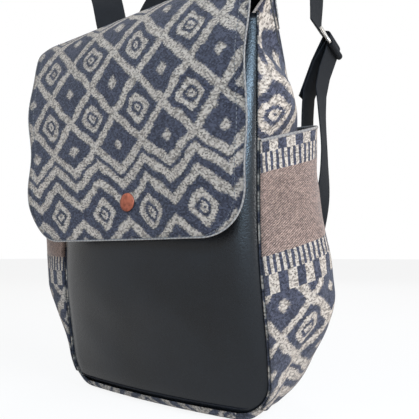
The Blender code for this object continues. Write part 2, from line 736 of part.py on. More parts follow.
def build_ring(side, sign, metal, collection):
    """Rectangular ring whose lower bar is its joint's axis."""
    pivot = ring_pivot()
    ring = wire_loop("ring_" + side, FITTING_WINDOW + 2 * WIRE, RING_HEIGHT, metal, collection)
    offset = Vector((0, 0, (RING_HEIGHT - WIRE) / 2))
    for vertex in ring.data.vertices:
        vertex.co = Vector((vertex.co.y, vertex.co.x, vertex.co.z)) + offset
    ring.data.flip_normals()
    ring.location = (sign * pivot.x, pivot.y, pivot.z)
    ring.rotation_euler = (-RING_LEAN, 0, 0)


def build_ring_tab(side, sign, leather, collection):
    """Folded tab round a ring's lower bar, both ends sewn to the back."""
    pivot = ring_pivot()
    turn = WIRE / 2 + FITTING_CLEARANCE + FABRIC / 2
    near = LEATHER / 2 + TAB_CLEARANCE + FABRIC / 2
    far = near + FABRIC + LAYER_GAP
    meet = RING_PIVOT_HEIGHT - TAB_NECK
    columns = [RING_X + TAB_WIDTH * (c / 4 - 0.5) for c in range(5)]
    inner = panel_point("back", columns[0], meet, near)
    outer = panel_point("back", columns[0], meet, far)
    loop = wrap([(inner.y, inner.z, 0), (pivot.y, pivot.z, -turn), (outer.y, outer.z, 0)])
    rows = []
    for share in (0, 0.5):
        z = lerp(TAB_FOOT, meet, share)
        rows.append([panel_point("back", x, z, near) for x in columns])
    rows += [[Vector((x, p.x, p.y)) for x in columns] for p in loop]
    for share in (0.5, 0):
        z = lerp(TAB_FOOT, meet, share)
        rows.append([panel_point("back", x, z, far) for x in columns])
    rows = [[Vector((sign * p.x, p.y, p.z)) for p in row] for row in rows]
    cloth("ring_tab_" + side, rows, FABRIC, leather, collection)


def build_handle(webbing, collection):
    """Low arch of webbing standing on edge, its feet sewn to the top of the back."""
    ridge = BACK_TOP + FLAP_RISE
    stand = panel_point("back", 0, BACK_TOP, STRAP_OFFSET).y
    half = HANDLE_SPAN / 2
    under = ridge + HANDLE_GAP
    over = under + HANDLE_WEB
    outer = [(half + HANDLE_LEG, ridge), (half + HANDLE_LEG * 0.2, ridge + 0.6 * (over - ridge)),
             (half * 0.72, over - 0.003), (0, over)]
    inner = [(half, ridge), (half * 0.66, under - 0.001), (half * 0.33, under), (0, under)]
    arch = []
    for i in range(9):
        t = i / 8
        a = catmull([Vector(p) for p in outer], t)
        b = catmull([Vector(p) for p in inner], t)
        arch.append([Vector((a.x, stand, a.y)), Vector(((a.x + b.x) / 2, stand, (a.y + b.y) / 2)),
                     Vector((b.x, stand, b.y))])
    feet = []
    for share in (1, 0.5, 0):
        z = BACK_TOP - 0.001 - share * STRAP_SEWN
        feet.append([panel_point("back", x, z, STRAP_OFFSET)
                     for x in (half + HANDLE_LEG, half + HANDLE_LEG / 2, half)])
    side = feet + arch
    other = [[Vector((-p.x, p.y, p.z)) for p in row] for row in side[:-1][::-1]]
    cloth("grab_handle", side + other, WEBBING, webbing, collection)


def build_anchor_band(leather, collection):
    """Strip across the top of the back that covers the sewn ends of straps, handle and flap."""
    far = STRAP_OFFSET + WEBBING / 2 + LAYER_GAP + LEATHER / 2
    rows = []
    for share in (0, 0.5, 1):
        z = lerp(BACK_TOP - STRAP_SEWN - 0.006, BACK_TOP - 0.005, share)
        half = half_width("back", BACK_TOP) + 0.0005
        rows.append([panel_point("back", half * (2 * c / PANEL_COLUMNS - 1), z, far)
                     for c in range(PANEL_COLUMNS + 1)])
    cloth("strap_anchor_band", rows, LEATHER, leather, collection)


def main():
    for obj in list(bpy.data.objects):
        bpy.data.objects.remove(obj)
    bag = bpy.data.collections.new("backpack")
    cutters = bpy.data.collections.new("cutters")
    for collection in (bag, cutters):
        bpy.context.scene.collection.children.link(collection)
    leather = material("dark leather", (0.030, 0.036, 0.046), 0.45)
    fabric = material("patterned fabric", (0.16, 0.16, 0.19), 0.85)
    lining = material("lining", (0.030, 0.030, 0.034), 0.80)
    webbing = material("webbing", (0.022, 0.026, 0.032), 0.75)
    nickel = material("nickel", (0.62, 0.60, 0.57), 0.25, 1.0)
    copper = material("copper", (0.33, 0.13, 0.07), 0.35, 1.0)
    build_body(leather, fabric, lining, bag)
    build_flap(fabric, lining, copper, bag, cutters)
    build_straps(webbing, leather, nickel, bag, cutters)
    build_handle(webbing, bag)
    build_anchor_band(leather, bag)


main()
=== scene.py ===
"""Looks of the backpack: patterned fabric, grained leather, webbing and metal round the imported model.

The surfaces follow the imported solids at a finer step, with folds, hems and stitches added.
Sizes are in metres, in the model's own frame: front towards -Y, top towards +Z.
"""

import math

import bpy
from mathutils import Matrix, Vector, noise


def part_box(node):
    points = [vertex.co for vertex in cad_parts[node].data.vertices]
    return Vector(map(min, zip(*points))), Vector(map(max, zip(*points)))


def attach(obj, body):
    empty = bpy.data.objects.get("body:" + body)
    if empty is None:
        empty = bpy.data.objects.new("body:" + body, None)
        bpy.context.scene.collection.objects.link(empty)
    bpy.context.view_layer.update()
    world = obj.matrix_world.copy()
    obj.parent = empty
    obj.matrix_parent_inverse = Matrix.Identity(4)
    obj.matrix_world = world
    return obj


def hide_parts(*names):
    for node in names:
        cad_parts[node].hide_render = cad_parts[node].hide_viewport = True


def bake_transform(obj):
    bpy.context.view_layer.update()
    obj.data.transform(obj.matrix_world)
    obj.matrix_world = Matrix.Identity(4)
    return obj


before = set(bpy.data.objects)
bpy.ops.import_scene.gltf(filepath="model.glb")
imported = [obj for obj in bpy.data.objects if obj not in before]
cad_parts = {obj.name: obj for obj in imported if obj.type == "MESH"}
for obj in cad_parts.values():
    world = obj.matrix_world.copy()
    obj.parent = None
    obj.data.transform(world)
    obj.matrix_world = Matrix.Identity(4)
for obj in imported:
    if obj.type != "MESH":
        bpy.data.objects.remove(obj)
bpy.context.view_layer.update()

# Bag body
PANEL_WIDTH = 0.240
BASE_DEPTH = 0.100
BASE_FLARE = 0.005
FRONT_TOP = 0.355
BACK_TOP = 0.402
SEAM_HEIGHT = 0.010
CORNER = {"front": 0.030, "back": 0.042}
PINCH_START = 0.150
BACK_TOP_Y = -0.020
TOP_DRAW_IN = 0.008
FRONT_LEAN = 0.014
BACK_LEAN = 0.005
BOTTOM_BOW = 0.012
BOTTOM_ROLL = 0.005
ROLL_SHARE = 0.14
PANEL_BULGE = 0.024
BACK_BULGE = 0.008
SIDE_BULGE = 0.026
FULLEST_HEIGHT = 0.118
UPPER_BULGE = 0.007
UPPER_HEIGHT = 0.300
VALLEY = 0.015
HEM_DIP = 0.014
LEATHER = 0.0014
FABRIC = 0.0012
LINING = 0.0009
WEBBING = 0.0015
LAYER_GAP = 0.0005
LINING_INSET = 0.0042
LINING_STEP = 0.0022
PANEL_INSET = 0.0006
PANEL_ROLL = 0.0028
SEAM_ALLOWANCE = 0.0065
FRONT_HEM = 0.006
STITCH_LIFT = 0.0001
GUSSET_SWELL = 0.0095
SWELL_HEIGHT = 0.290
SWELL_REACH = 0.058
GUSSET_HOLLOW = 0.004
HOLLOW_HEIGHT = 0.362
HOLLOW_REACH = 0.028
GUSSET_HEM_RADIUS = 0.0013
POCKET_HEM_RADIUS = 0.0014
FLAP_HEM_RADIUS = 0.0008

# Side pockets
POCKET_TOP = {"front": 0.246, "back": 0.289}
POCKET_BELLY = 0.020
POCKET_FULLNESS = {"right": 0.006, "left": 0.042}
POCKET_SKEW = {"right": 1.35, "left": 0.45}
POCKET_END_TURN = math.radians(45)
POCKET_CLEARANCE = 0.0010
POCKET_LEVEL = (FRONT_TOP - POCKET_TOP["front"]) / (FRONT_TOP - SEAM_HEIGHT - CORNER["front"])

# Flap
FLAP_WIDTH = 0.258
FLAP_BACK_WIDTH = 0.228
FLAP_BOTTOM = 0.165
FLAP_CORNER = 0.042
FLAP_STANDOFF = 0.054
FLAP_RISE = 0.0100
FLAP_HEM = 0.024
FLAP_DROOP = 0.006
DIMPLE = 0.0060
DIMPLE_SPREAD = 0.055
SNAP_X = 0.006
SNAP_HEIGHT = 0.199

# Straps and fittings
STRAP_WIDTH = 0.038
STRAP_SEWN = 0.026
WIRE = 0.0030
FITTING_CLEARANCE = 0.0003
SLIDER_LENGTH = 0.022
SLIDER_MARGIN = 0.0025
DOUBLED_END = 0.064
OUTER_TURN = 9
OUTER_SWAY = 0.004
RING_HEIGHT = 0.020
RING_LEAN = math.radians(12)
RING_EASE = 0.012
RING_DENT = 0.0018
RING_PIVOT = Vector((0.0930, 0.0634, 0.0720))
FLAP_OFFSET = LEATHER / 2 + LAYER_GAP + LINING + LAYER_GAP + FABRIC / 2
STRAP_OFFSET = FLAP_OFFSET + FABRIC / 2 + LAYER_GAP + WEBBING / 2
STRAP_ANCHOR_X = PANEL_WIDTH / 2 - TOP_DRAW_IN - STRAP_WIDTH / 2
HANDLE_SPAN = 0.094
HANDLE_WEB = 0.027
HANDLE_LEG = 0.019
HANDLE_GAP = 0.0115

# Box of stitches on the doubled webbing: its length and width, and its middle from the sewn end
BOX_STITCH = (0.024, 0.028)
BOX_FROM_END = 0.017

# Camera, as the photograph was taken
CAMERA_PLACE = (0.271, -0.382, 0.150)
CAMERA_YAW = math.radians(32)
FOCAL_PIXELS = 417.0
IMAGE_PIXELS = 419.0
HORIZON_ROW = 256.0

# Fabric pattern
REPEAT_X = 0.0573
LATTICE = 0.0575
HALF_DESIGN = 0.1203
ZIGZAG_START = 0.0578
ZIGZAG_RISE = 0.0225
ZIGZAGS = (0.0, 0.0140, 0.0320)
ZIGZAG_HALF = 0.0046
YARN_U = 0.0015
YARN_V = 0.0011

# How the pattern lies on the flap and the gussets
RING_UP = 0.1165
RING_COLUMN = -0.0355
LEAN = 0.047
LEAN_BELOW = 0.085
GUSSET_RING = (-0.031, 0.089)
GUSSET_DRAW = (0.55, 0.78)


# Small maths

def ease(low, high, value):
    """Smooth step from 0 at low to 1 at high."""
    t = min(1.0, max(0.0, (value - low) / (high - low)))
    return t * t * (3 - 2 * t)


def lerp(a, b, t):
    return a + (b - a) * t


def bump(centre, reach, value):
    """Smooth hump, 1 at centre and 0 beyond reach."""
    return 1 - ease(0, reach, abs(value - centre))


def catmull(points, t):
    """Point on the smooth curve through points, t from 0 to 1."""
    last = len(points) - 1
    place = min(max(t, 0.0), 1.0) * last
    i = min(int(place), last - 1)
    f = place - i
    p1, p2 = points[i], points[i + 1]
    p0 = points[i - 1] if i > 0 else 2 * p1 - p2
    p3 = points[i + 2] if i + 2 <= last else 2 * p2 - p1
    return 0.5 * (2 * p1 + (p2 - p0) * f + (2 * p0 - 5 * p1 + 4 * p2 - p3) * f * f
                  + (3 * p1 - p0 - 3 * p2 + p3) * f * f * f)


def ripple(x, y, scale, seed=0.0):
    """Soft unevenness from -1 to 1 over patches of about scale."""
    return noise.noise(Vector((x / scale, y / scale, seed)))


def srgb(red, green, blue):
    """Linear colour of an 8-bit display colour."""
    return tuple(((c / 255 + 0.055) / 1.055) ** 2.4 for c in (red, green, blue)) + (1.0,)


# Shader fields: numbers computed by nodes, written as formulas

class Field:
    def __init__(self, tree, socket):
        self.tree = tree
        self.socket = socket

    def math(self, operation, *others):
        node = self.tree.nodes.new("ShaderNodeMath")
        node.operation = operation
        for socket, value in zip(node.inputs, (self, *others)):
            if isinstance(value, Field):
                self.tree.links.new(value.socket, socket)
            else:
                socket.default_value = value
        return Field(self.tree, node.outputs[0])

    def __add__(self, other):
        return self.math("ADD", other)

    def __sub__(self, other):
        return self.math("SUBTRACT", other)

    def __mul__(self, other):
        return self.math("MULTIPLY", other)

    def __truediv__(self, other):
        return self.math("DIVIDE", other)

    def __abs__(self):
        return self.math("ABSOLUTE")

    def over(self, limit):
        return self.math("GREATER_THAN", limit)

    def max(self, other):
        return self.math("MAXIMUM", other)

    def snap(self, step):
        return self.math("SNAP", step)

    def power(self, exponent):
        return self.math("POWER", exponent)

    def saw(self):
        """0 at whole numbers, 1 halfway between them."""
        return abs((self + 0.5).math("FRACT") * 2 - 1)

    def invert(self):
        return (self * -1) + 1

    def step(self, low, high):
        node = self.tree.nodes.new("ShaderNodeMapRange")
        node.interpolation_type = "SMOOTHSTEP"
        self.tree.links.new(self.socket, node.inputs["Value"])
        node.inputs["From Min"].default_value = low
        node.inputs["From Max"].default_value = high
        return Field(self.tree, node.outputs["Result"])

    def line(self, centre, half, soft=0.25):
        """1 within half of centre, 0 outside."""
        return abs(self - centre).step(half * (1 - soft), half * (1 + soft)).invert()


class Shader:
    """A material with its Principled shader, the cloth's own coordinates and short ways to add nodes."""

    def __init__(self, name, roughness, metallic=0.0):
        self.material = bpy.data.materials.new(name)
        self.material.use_nodes = True
        self.tree = self.material.node_tree
        self.principled = self.tree.nodes["Principled BSDF"]
        self.principled.inputs["Roughness"].default_value = roughness
        self.principled.inputs["Metallic"].default_value = metallic

    def cloth_place(self):
        """Fields (u, v, w): metres across and along the cloth, and the distance to its edge."""
        node = self.tree.nodes.new("ShaderNodeAttribute")
        node.attribute_name = "cloth"
        split = self.tree.nodes.new("ShaderNodeSeparateXYZ")
        self.tree.links.new(node.outputs["Vector"], split.inputs[0])
        return [Field(self.tree, split.outputs[i]) for i in range(3)]

    def object_place(self):
        return self.tree.nodes.new("ShaderNodeTexCoord").outputs["Object"]

    def join(self, *fields):
        node = self.tree.nodes.new("ShaderNodeCombineXYZ")
        for socket, field in zip(node.inputs, fields):
            self.tree.links.new(field.socket, socket)
        return node.outputs[0]

    def noise(self, place, scale, detail=2.0):
        node = self.tree.nodes.new("ShaderNodeTexNoise")
        node.inputs["Scale"].default_value = scale
        node.inputs["Detail"].default_value = detail
        self.tree.links.new(place, node.inputs["Vector"])
        return Field(self.tree, node.outputs["Fac"])

    def cells(self, place, scale, feature="F1"):
        node = self.tree.nodes.new("ShaderNodeTexVoronoi")
        node.feature = feature
        node.inputs["Scale"].default_value = scale
        self.tree.links.new(place, node.inputs["Vector"])
        return Field(self.tree, node.outputs["Distance"])

    def speck(self, place):
        node = self.tree.nodes.new("ShaderNodeTexWhiteNoise")
        self.tree.links.new(place, node.inputs["Vector"])
        return Field(self.tree, node.outputs["Value"])

    def mix(self, factor, first, second):
        """Colour from first to second; each is a colour or another mix."""
        node = self.tree.nodes.new("ShaderNodeMix")
        node.data_type = "RGBA"
        self.tree.links.new(factor.socket, node.inputs[0])
        for socket, value in ((node.inputs[6], first), (node.inputs[7], second)):
            if isinstance(value, tuple):
                socket.default_value = value
            else:
                self.tree.links.new(value, socket)
        return node.outputs[2]

    def shade(self, color, factor):
        """Colour multiplied by a field."""
        node = self.tree.nodes.new("ShaderNodeVectorMath")
        node.operation = "SCALE"
        self.tree.links.new(color, node.inputs[0])
        self.tree.links.new(factor.socket, node.inputs["Scale"])
        return node.outputs[0]

    def color(self, socket):
        self.tree.links.new(socket, self.principled.inputs["Base Color"])

    def roughness(self, field):
        self.tree.links.new(field.socket, self.principled.inputs["Roughness"])

    def relief(self, height, distance, strength=1.0):
        node = self.tree.nodes.new("ShaderNodeBump")
        node.inputs["Distance"].default_value = distance
        node.inputs["Strength"].default_value = strength
        self.tree.links.new(height.socket, node.inputs["Height"])
        self.tree.links.new(node.outputs[0], self.principled.inputs["Normal"])


# Fabric pattern: a traditional lattice of ringed and dotted diamonds with zigzag rows

NAVY = srgb(42, 41, 50)
NAVY_LIGHT = srgb(72, 71, 82)
BEIGE = srgb(182, 166, 151)
BEIGE_DARK = srgb(120, 108, 98)
# Ends of the band's brown. The spread between them is partly the twill's own tone and partly painted sheen
# and shade.
BROWN = srgb(160, 132, 118)
BROWN_DARK = srgb(52, 40, 37)


def diamond(x, y):
    """Distance from a figure's middle, with equal distances on slightly rounded diamonds."""
    return (x.power(1.25) + y.power(1.25)).power(0.8)


def ringed(distance):
    """Ring with a small ring inside it."""
    return distance.line(0.375, 0.100).max(distance.line(0.095, 0.050))


def figures(u, v):
    """1 where the light figures show. Rings lie at u = 0, v = 0, in a lattice two rings high.

    Zigzag rows and a single row of rings follow it, and the design then runs back the other way.
    """
    x = (u / REPEAT_X).saw()
    away = ((v + LATTICE / 2) / (2 * HALF_DESIGN)).saw() * HALF_DESIGN
    y = ((away - LATTICE / 2) / LATTICE).saw()
    rows = away - x * ZIGZAG_RISE - ZIGZAG_START
    inside = rows.over(0.0).invert()
    trellis = (x + y).line(1.0, 0.175)
    dots = diamond(x.invert(), y.invert()).line(0, 0.19)
    lattice = trellis.max(ringed(diamond(x, y))).max(dots) * inside
    single = ringed(diamond(x, (away * -1 + HALF_DESIGN) / (LATTICE * 0.6)))
    zigzag = rows.line(ZIGZAGS[0], ZIGZAG_HALF)
    for place in ZIGZAGS[1:]:
        zigzag = zigzag.max(rows.line(place, ZIGZAG_HALF))
    return lattice.max(zigzag).max(single)


def yarns(shader, u, v):
    """Coordinates stepped by yarn, a random number a stitch, and the height of the ribs."""
    row = v.snap(YARN_V)
    shift = (row / (2 * YARN_V)).saw() * (YARN_U / 2)
    column = (u + shift).snap(YARN_U)
    speck = shader.speck(shader.join(column, row))
    rib = ((v / YARN_V).saw().invert() * 0.6) + ((u + shift) / YARN_U).saw().invert() * 0.4
    return column, row, speck, rib


def finish_cloth(shader, color, speck, rib, edge, broad):
    """Vary a cloth's colour by stitch, paint shade into it between its ribs and near its seams, and give it
    its relief.
    """
    # Painted shade between the ribs: the colour is darker where the rib heights are low. Speck and broad add
    # random tone.
    tone = (speck * 0.34) + (rib * 0.52) + (broad * 0.20) + 0.36
    # Painted shade along the seams: the colour darkens within 6 mm of a cloth's edge.
    seam = edge.step(0.0, 0.006) * 0.35 + 0.65
    shader.color(shader.shade(color, tone * seam))
    shader.relief(rib + speck * 0.5, 0.0005, 0.9)
    shader.principled.inputs["Sheen Weight"].default_value = 0.10
    shader.principled.inputs["Specular IOR Level"].default_value = 0.15


def woven_figures(shader, u, v, column, row):
    """The figures as the loom leaves them: stepped by yarn, drawn a little out of true."""
    fine = (shader.noise(shader.join(u, v), 200.0, 1.0) - 0.5) * 0.0030
    sway = (shader.noise(shader.join(u, v), 55.0, 1.0) - 0.5) * 0.0100
    lift = (shader.noise(shader.join(v, u), 55.0, 1.0) - 0.5) * 0.0070
    return figures(column + fine + sway, row + fine + lift)


def two_tone(shader, light, speck):
    """Navy ground and beige figures, each stitch in a shade of its own."""
    ground = shader.mix(speck, NAVY, NAVY_LIGHT)
    figure = shader.mix(speck.step(-0.1, 0.8), BEIGE_DARK, BEIGE)
    return shader.mix(light, ground, figure)


def jacquard(name):
    shader = Shader(name, 0.88)
    u, v, edge = shader.cloth_place()
    column, row, speck, rib = yarns(shader, u, v)
    light = woven_figures(shader, u, v, column, row)
    broad = shader.noise(shader.join(u, v), 28.0)
    finish_cloth(shader, two_tone(shader, light, speck), speck, rib, edge, broad)
    return shader.material


def pocket_fabric(name):
    """Border of bars and a brown ribbed band at the mouth, diamonds below."""
    bar_ends = (0.0105, 0.0270, 0.0970, 0.1130, 0.1300)
    shader = Shader(name, 0.88)
    u, v, edge = shader.cloth_place()
    column, row, speck, rib = yarns(shader, u, v)
    sway = (shader.noise(shader.join(u, v), 90.0, 1.0) - 0.5) * 0.0016
    wide = ((u + sway) / 0.0180).saw().over(0.48)
    narrow = ((u + sway) / 0.0060).saw().over(0.48)
    diamonds = woven_figures(shader, u, v, column - 0.030, row - 0.171)
    past = [(v + sway).over(place) for place in bar_ends]
    light = wide * past[0].invert()
    light = light.max(narrow * past[0] * past[1].invert())
    light = light.max(narrow * past[2] * past[3].invert())
    light = light.max(wide * past[3] * past[4].invert())
    light = light.max(diamonds * past[4])
    band = past[1] * past[2].invert()
    broad = shader.noise(shader.join(u, v), 28.0)
    twill = ((u * 0.55 + v) / 0.0020).saw()
    # Painted sheen and shade on the brown band: the low twill lines are darker, and the wide spread from
    # dark to light partly stands in for satin highlights. Speck and broad add random tone, and finish_cloth
    # darkens the same twill lines again.
    brown = shader.mix(twill * 0.35 + speck * 0.35 + broad * 0.3, BROWN_DARK, BROWN)
    color = shader.mix(band, two_tone(shader, light, speck), brown)
    relief = rib * band.invert() + twill * band
    finish_cloth(shader, color, speck, relief, edge, broad)
    shader.roughness(band * -0.50 + 0.88)
    return shader.material


def plain_weave(name, color, light, yarn, roughness):
    shader = Shader(name, roughness)
    u, v, edge = shader.cloth_place()
    across = ((u / yarn) + (v / (2 * yarn)).saw() * 0.5).saw()
    along = (v / yarn).saw()
    broad = shader.noise(shader.join(u, v), 60.0)
    weave = across * 0.5 + along * 0.5
    # Partly painted shade: the colour runs from color in the hollows of the weave to light on its crests. On
    # the two-colour edging these are its two yarns. On the webbing and lining it is painted shade between
    # the yarns.
    shader.color(shader.mix(weave * 0.6 + broad * 0.4, color, light))
    shader.relief(weave, 0.0004, 0.8)
    shader.principled.inputs["Specular IOR Level"].default_value = 0.12
    return shader.material


def leather(name):
    shader = Shader(name, 0.42)
    place = shader.object_place()
    pebbles = shader.cells(place, 620.0)
    creases = shader.cells(place, 1100.0, "SMOOTH_F1")
    cloudy = shader.noise(place, 14.0, 3.0)
    shader.color(shader.mix(cloudy.step(0.3, 0.7), srgb(11, 12, 14), srgb(18, 20, 23)))
    shader.roughness(cloudy * 0.08 + pebbles * 0.12 + 0.20)
    shader.relief(pebbles * 0.7 + creases * 0.3, 0.0004, 0.28)
    shader.principled.inputs["Specular IOR Level"].default_value = 0.30
    return shader.material


def metal(name, color, worn, roughness, scratch):
    shader = Shader(name, roughness, 1.0)
    place = shader.object_place()
    cloudy = shader.noise(place, 260.0, 4.0)
    shader.color(shader.mix(cloudy.step(0.35, 0.75), color, worn))
    shader.roughness(cloudy * 0.25 + roughness)
    shader.relief(shader.noise(place, 1400.0, 2.0), 0.0002, scratch)
    return shader.material


def thread(name, color):
    shader = Shader(name, 0.8)
    place = shader.object_place()
    shader.color(shader.mix(shader.noise(place, 900.0), color, srgb(120, 118, 116)))
    return shader.material


# Meshes

def add_object(name, data):
    obj = bpy.data.objects.new(name, data)
    bpy.context.scene.collection.objects.link(obj)
    return obj


def mesh_object(name, vertices, faces, mat):
    mesh = bpy.data.meshes.new(name)
    mesh.from_pydata([tuple(v) for v in vertices], [], faces)
    mesh.shade_smooth()
    mesh.materials.append(mat)
    return add_object(name, mesh)


def grid_object(name, rows, cloth, mat, thickness=0.0, closed=False, capped=False):
    """Smooth quad sheet through rows of points; cloth gives (u, v, w) for each point."""
    width = len(rows[0])
    faces = []
    for r in range(len(rows) - 1):
        for c in range(width if closed else width - 1):
            a = r * width + c
            b = r * width + (c + 1) % width
            faces.append((a, b, b + width, a + width))
    if capped:
        last = (len(rows) - 1) * width
        faces += [tuple(range(width - 1, -1, -1)), tuple(last + k for k in range(width))]
    obj = mesh_object(name, [p for row in rows for p in row], faces, mat)
    layer = obj.data.attributes.new("cloth", "FLOAT_VECTOR", "POINT")
    layer.data.foreach_set("vector", [k for row in cloth for place in row for k in place])
    if thickness:
        solid = obj.modifiers.new("thickness", "SOLIDIFY")
        solid.thickness = thickness
        solid.offset = 0.0
    return obj


def arc_places(rows):
    """Cloth coordinates of a grid: arc length across from the middle, and arc length down."""
    places = []
    down = [0.0] * len(rows[0])
    for r, row in enumerate(rows):
        lengths = [0.0]
        for a, b in zip(row, row[1:]):
            lengths.append(lengths[-1] + (Vector(b) - Vector(a)).length)
        middle = lengths[-1] / 2
        if r:
            for c in range(len(row)):
                down[c] += (Vector(row[c]) - Vector(rows[r - 1][c])).length
        places.append([(lengths[c] - middle, down[c], min(lengths[c], lengths[-1] - lengths[c]))
                       for c in range(len(row))])
    return places


def walk(points):
    """Each point of a path with its direction and the way travelled so far."""
    travelled = 0.0
    for i, point in enumerate(points):
        if i:
            travelled += (point - points[i - 1]).length
        ahead = points[min(i + 1, len(points) - 1)]
        behind = points[max(i - 1, 0)]
        yield point, (ahead - behind).normalized(), travelled


def round_axes(along):
    """Two directions across a thread, from one that no seam here runs along."""
    side = along.cross(Vector((0.31, 0.17, 0.94))).normalized()
    return side, along.cross(side)


def tube(name, points, radius, mat, sides=8):
    """Round cord along points."""
    angles = [2 * math.pi * k / sides for k in range(sides)]
    rows = []
    cloth = []
    for point, along, travelled in walk(points):
        side, other = round_axes(along)
        rows.append([point + (side * math.cos(a) + other * math.sin(a)) * radius for a in angles])
        cloth.append([(travelled, radius * a, 0.01) for a in angles])
    return grid_object(name, rows, cloth, mat, closed=True)


def stitches(name, points, mat, pitch=0.0036, length=0.0024, radius=0.00035):
    """Row of short rounded threads lying along a line of points."""
    vertices = []
    faces = []
    due = pitch / 2
    travelled = 0.0
    for a, b in zip(points, points[1:]):
        step = (b - a).length
        while step > 0 and travelled + step >= due:
            centre = a.lerp(b, (due - travelled) / step)
            along = (b - a).normalized()
            side, other = round_axes(along)
            base = len(vertices)
            for share, girth in ((-0.5, 0.35), (-0.3, 1), (0.3, 1), (0.5, 0.35)):
                for k in range(5):
                    angle = 2 * math.pi * k / 5
                    out = (side * math.cos(angle) + other * math.sin(angle)) * radius * girth
                    vertices.append(centre + along * length * share + out)
            for ring in range(3):
                for k in range(5):
                    p = base + ring * 5 + k
                    q = base + ring * 5 + (k + 1) % 5
                    faces.append((p, q, q + 5, p + 5))
            faces.append(tuple(base + k for k in range(4, -1, -1)))
            faces.append(tuple(base + 15 + k for k in range(5)))
            due += pitch
        travelled += step
    return mesh_object(name, vertices, faces, mat)


def place_piece(obj, body, slot, *nodes):
    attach(obj, body)
    if nodes:
        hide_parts(*nodes)
    return obj


def sheet_piece(name, rows, mat, thickness, slot, *nodes):
    """Sheet with its arc lengths as cloth coordinates, as a piece of the bag's body."""
    return place_piece(grid_object(name, rows, arc_places(rows), mat, thickness), "root", slot, *nodes)


def stitch_piece(name, points, mat, slot):
    return place_piece(stitches(name, points, mat), "root", slot)


# Body surfaces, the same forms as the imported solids

def pinch(z):
    return max(0.0, (z - PINCH_START) / (BACK_TOP - PINCH_START))


def half_width(face, z):
    drawn_in = TOP_DRAW_IN * pinch(z) ** 2 if face == "back" else 0.0
    return PANEL_WIDTH / 2 + BASE_FLARE * (1 - ease(0.06, 0.20, z)) - drawn_in


def seam_y(face, x, z):
    bow = BOTTOM_BOW * (1 - min(1.0, abs(x) / half_width(face, z)) ** 2) * (1 - ease(0, 0.09, z))
    if face == "front":
        return -BASE_DEPTH / 2 - FRONT_LEAN * ease(0, 0.16, z) - bow
    lean = BACK_LEAN * ease(0, 0.10, z)
    reach = BASE_DEPTH / 2 + BACK_LEAN - BACK_TOP_Y
    return BASE_DEPTH / 2 + lean - reach * pinch(z) ** 1.6 + bow


def seam_point(face, level, turn, inset=0.0, drop=0.0):
    top = FRONT_TOP if face == "front" else BACK_TOP
    radius = CORNER[face] - inset
    floor = SEAM_HEIGHT + inset
    z = lerp(top - drop, floor + radius, level) if turn == 0 else floor + radius * (1 - math.sin(turn))
    return half_width(face, z) - inset - radius * (1 - math.cos(turn)), z


def seam_stations(start=0.0, end_turn=math.pi / 2, side_rows=70, corner_rows=14):
    stations = [(lerp(start, 1, i / side_rows), 0.0) for i in range(side_rows + 1)]
    return stations + [(1.0, end_turn * (i + 1) / corner_rows) for i in range(corner_rows)]


def pillow(face, x, z):
    across = max(0.0, 1 - abs(x / half_width(face, z)) ** 2.6) ** 0.8
    if face == "front":
        v = (z - SEAM_HEIGHT) / (FRONT_TOP - SEAM_HEIGHT)
        return PANEL_BULGE * across * ease(0, 0.34, v) ** 0.8 * (1 - 0.55 * ease(0.6, 1, v))
    v = (z - SEAM_HEIGHT) / (BACK_TOP - SEAM_HEIGHT)
    return BACK_BULGE * across * ease(0, 0.3, v) * (1 - ease(0.5, 0.95, v))


def panel_point(face, x, z, outward=0.0):
    sign = -1 if face == "front" else 1
    slope = (seam_y(face, x, z + 0.002) - seam_y(face, x, z - 0.002)) / 0.004
    normal = Vector((0, 1, -slope)).normalized() * sign
    return Vector((x, seam_y(face, x, z) + sign * pillow(face, x, z), z)) + normal * outward


def panel_rows(face, inset, outward=0.0, drop=0.0, columns=72, turned=0.0):
    """Rows across a panel; turned rolls its edge back into the seam."""
    rows = []
    for level, turn in seam_stations():
        half, z = seam_point(face, level, turn, inset, drop)
        row = []
        for c in range(columns + 1):
            x = half * math.sin(math.pi * (c / columns - 0.5))
            near = min(half - abs(x), z - SEAM_HEIGHT - inset + 0.0001)
            rolled = turned * (0.25 * max(0.0, 1 - near / 0.0045) ** 2 + max(0.0, 1 - near / 0.018) ** 2)
            soft = 0.0007 * ripple(x, z, 0.045, 3.0) * ease(0.01, 0.04, near)
            if face == "back":
                soft -= RING_DENT * bump(RING_PIVOT.x, 0.045, abs(x)) * bump(0.088, 0.035, z)
            row.append(panel_point(face, x, z, outward - rolled + soft))
        rows.append(row)
    return rows


def side_bulge(z):
    full = ease(0, FULLEST_HEIGHT, z) * (1 - ease(FULLEST_HEIGHT, 0.26, z))
    upper = ease(0.19, UPPER_HEIGHT, z) * (1 - ease(UPPER_HEIGHT, 0.355, z))
    return SIDE_BULGE * full + UPPER_BULGE * upper - VALLEY * ease(0.315, 0.385, z)


def pocket_belly(side, z, t):
    mouth = lerp(POCKET_TOP["front"], POCKET_TOP["back"], t)
    foot = ease(SEAM_HEIGHT, FULLEST_HEIGHT, z)
    hang = 0.5 * foot + 0.5 * ease(0.5 * mouth, mouth, z)
    gape = POCKET_FULLNESS[side] * foot * lerp(0.45, 1, z / mouth)
    return (POCKET_BELLY * hang + gape) * math.sin(math.pi * t ** POCKET_SKEW[side])


def no_belly(side, z, t):
    return 0.0


def roll(t):
    near = math.sin(math.pi * min(1.0, min(t, 1 - t) / ROLL_SHARE))
    return math.copysign(BOTTOM_ROLL * near, t - 0.5)


def flat_sag(t):
    return SEAM_HEIGHT * ease(-0.02, ROLL_SHARE, min(t, 1 - t))


def strip_columns(count=44):
    """Places from seam to seam, closer together near the seams."""
    return [0.5 - 0.5 * math.cos(math.pi * c / count) for c in range(count + 1)]


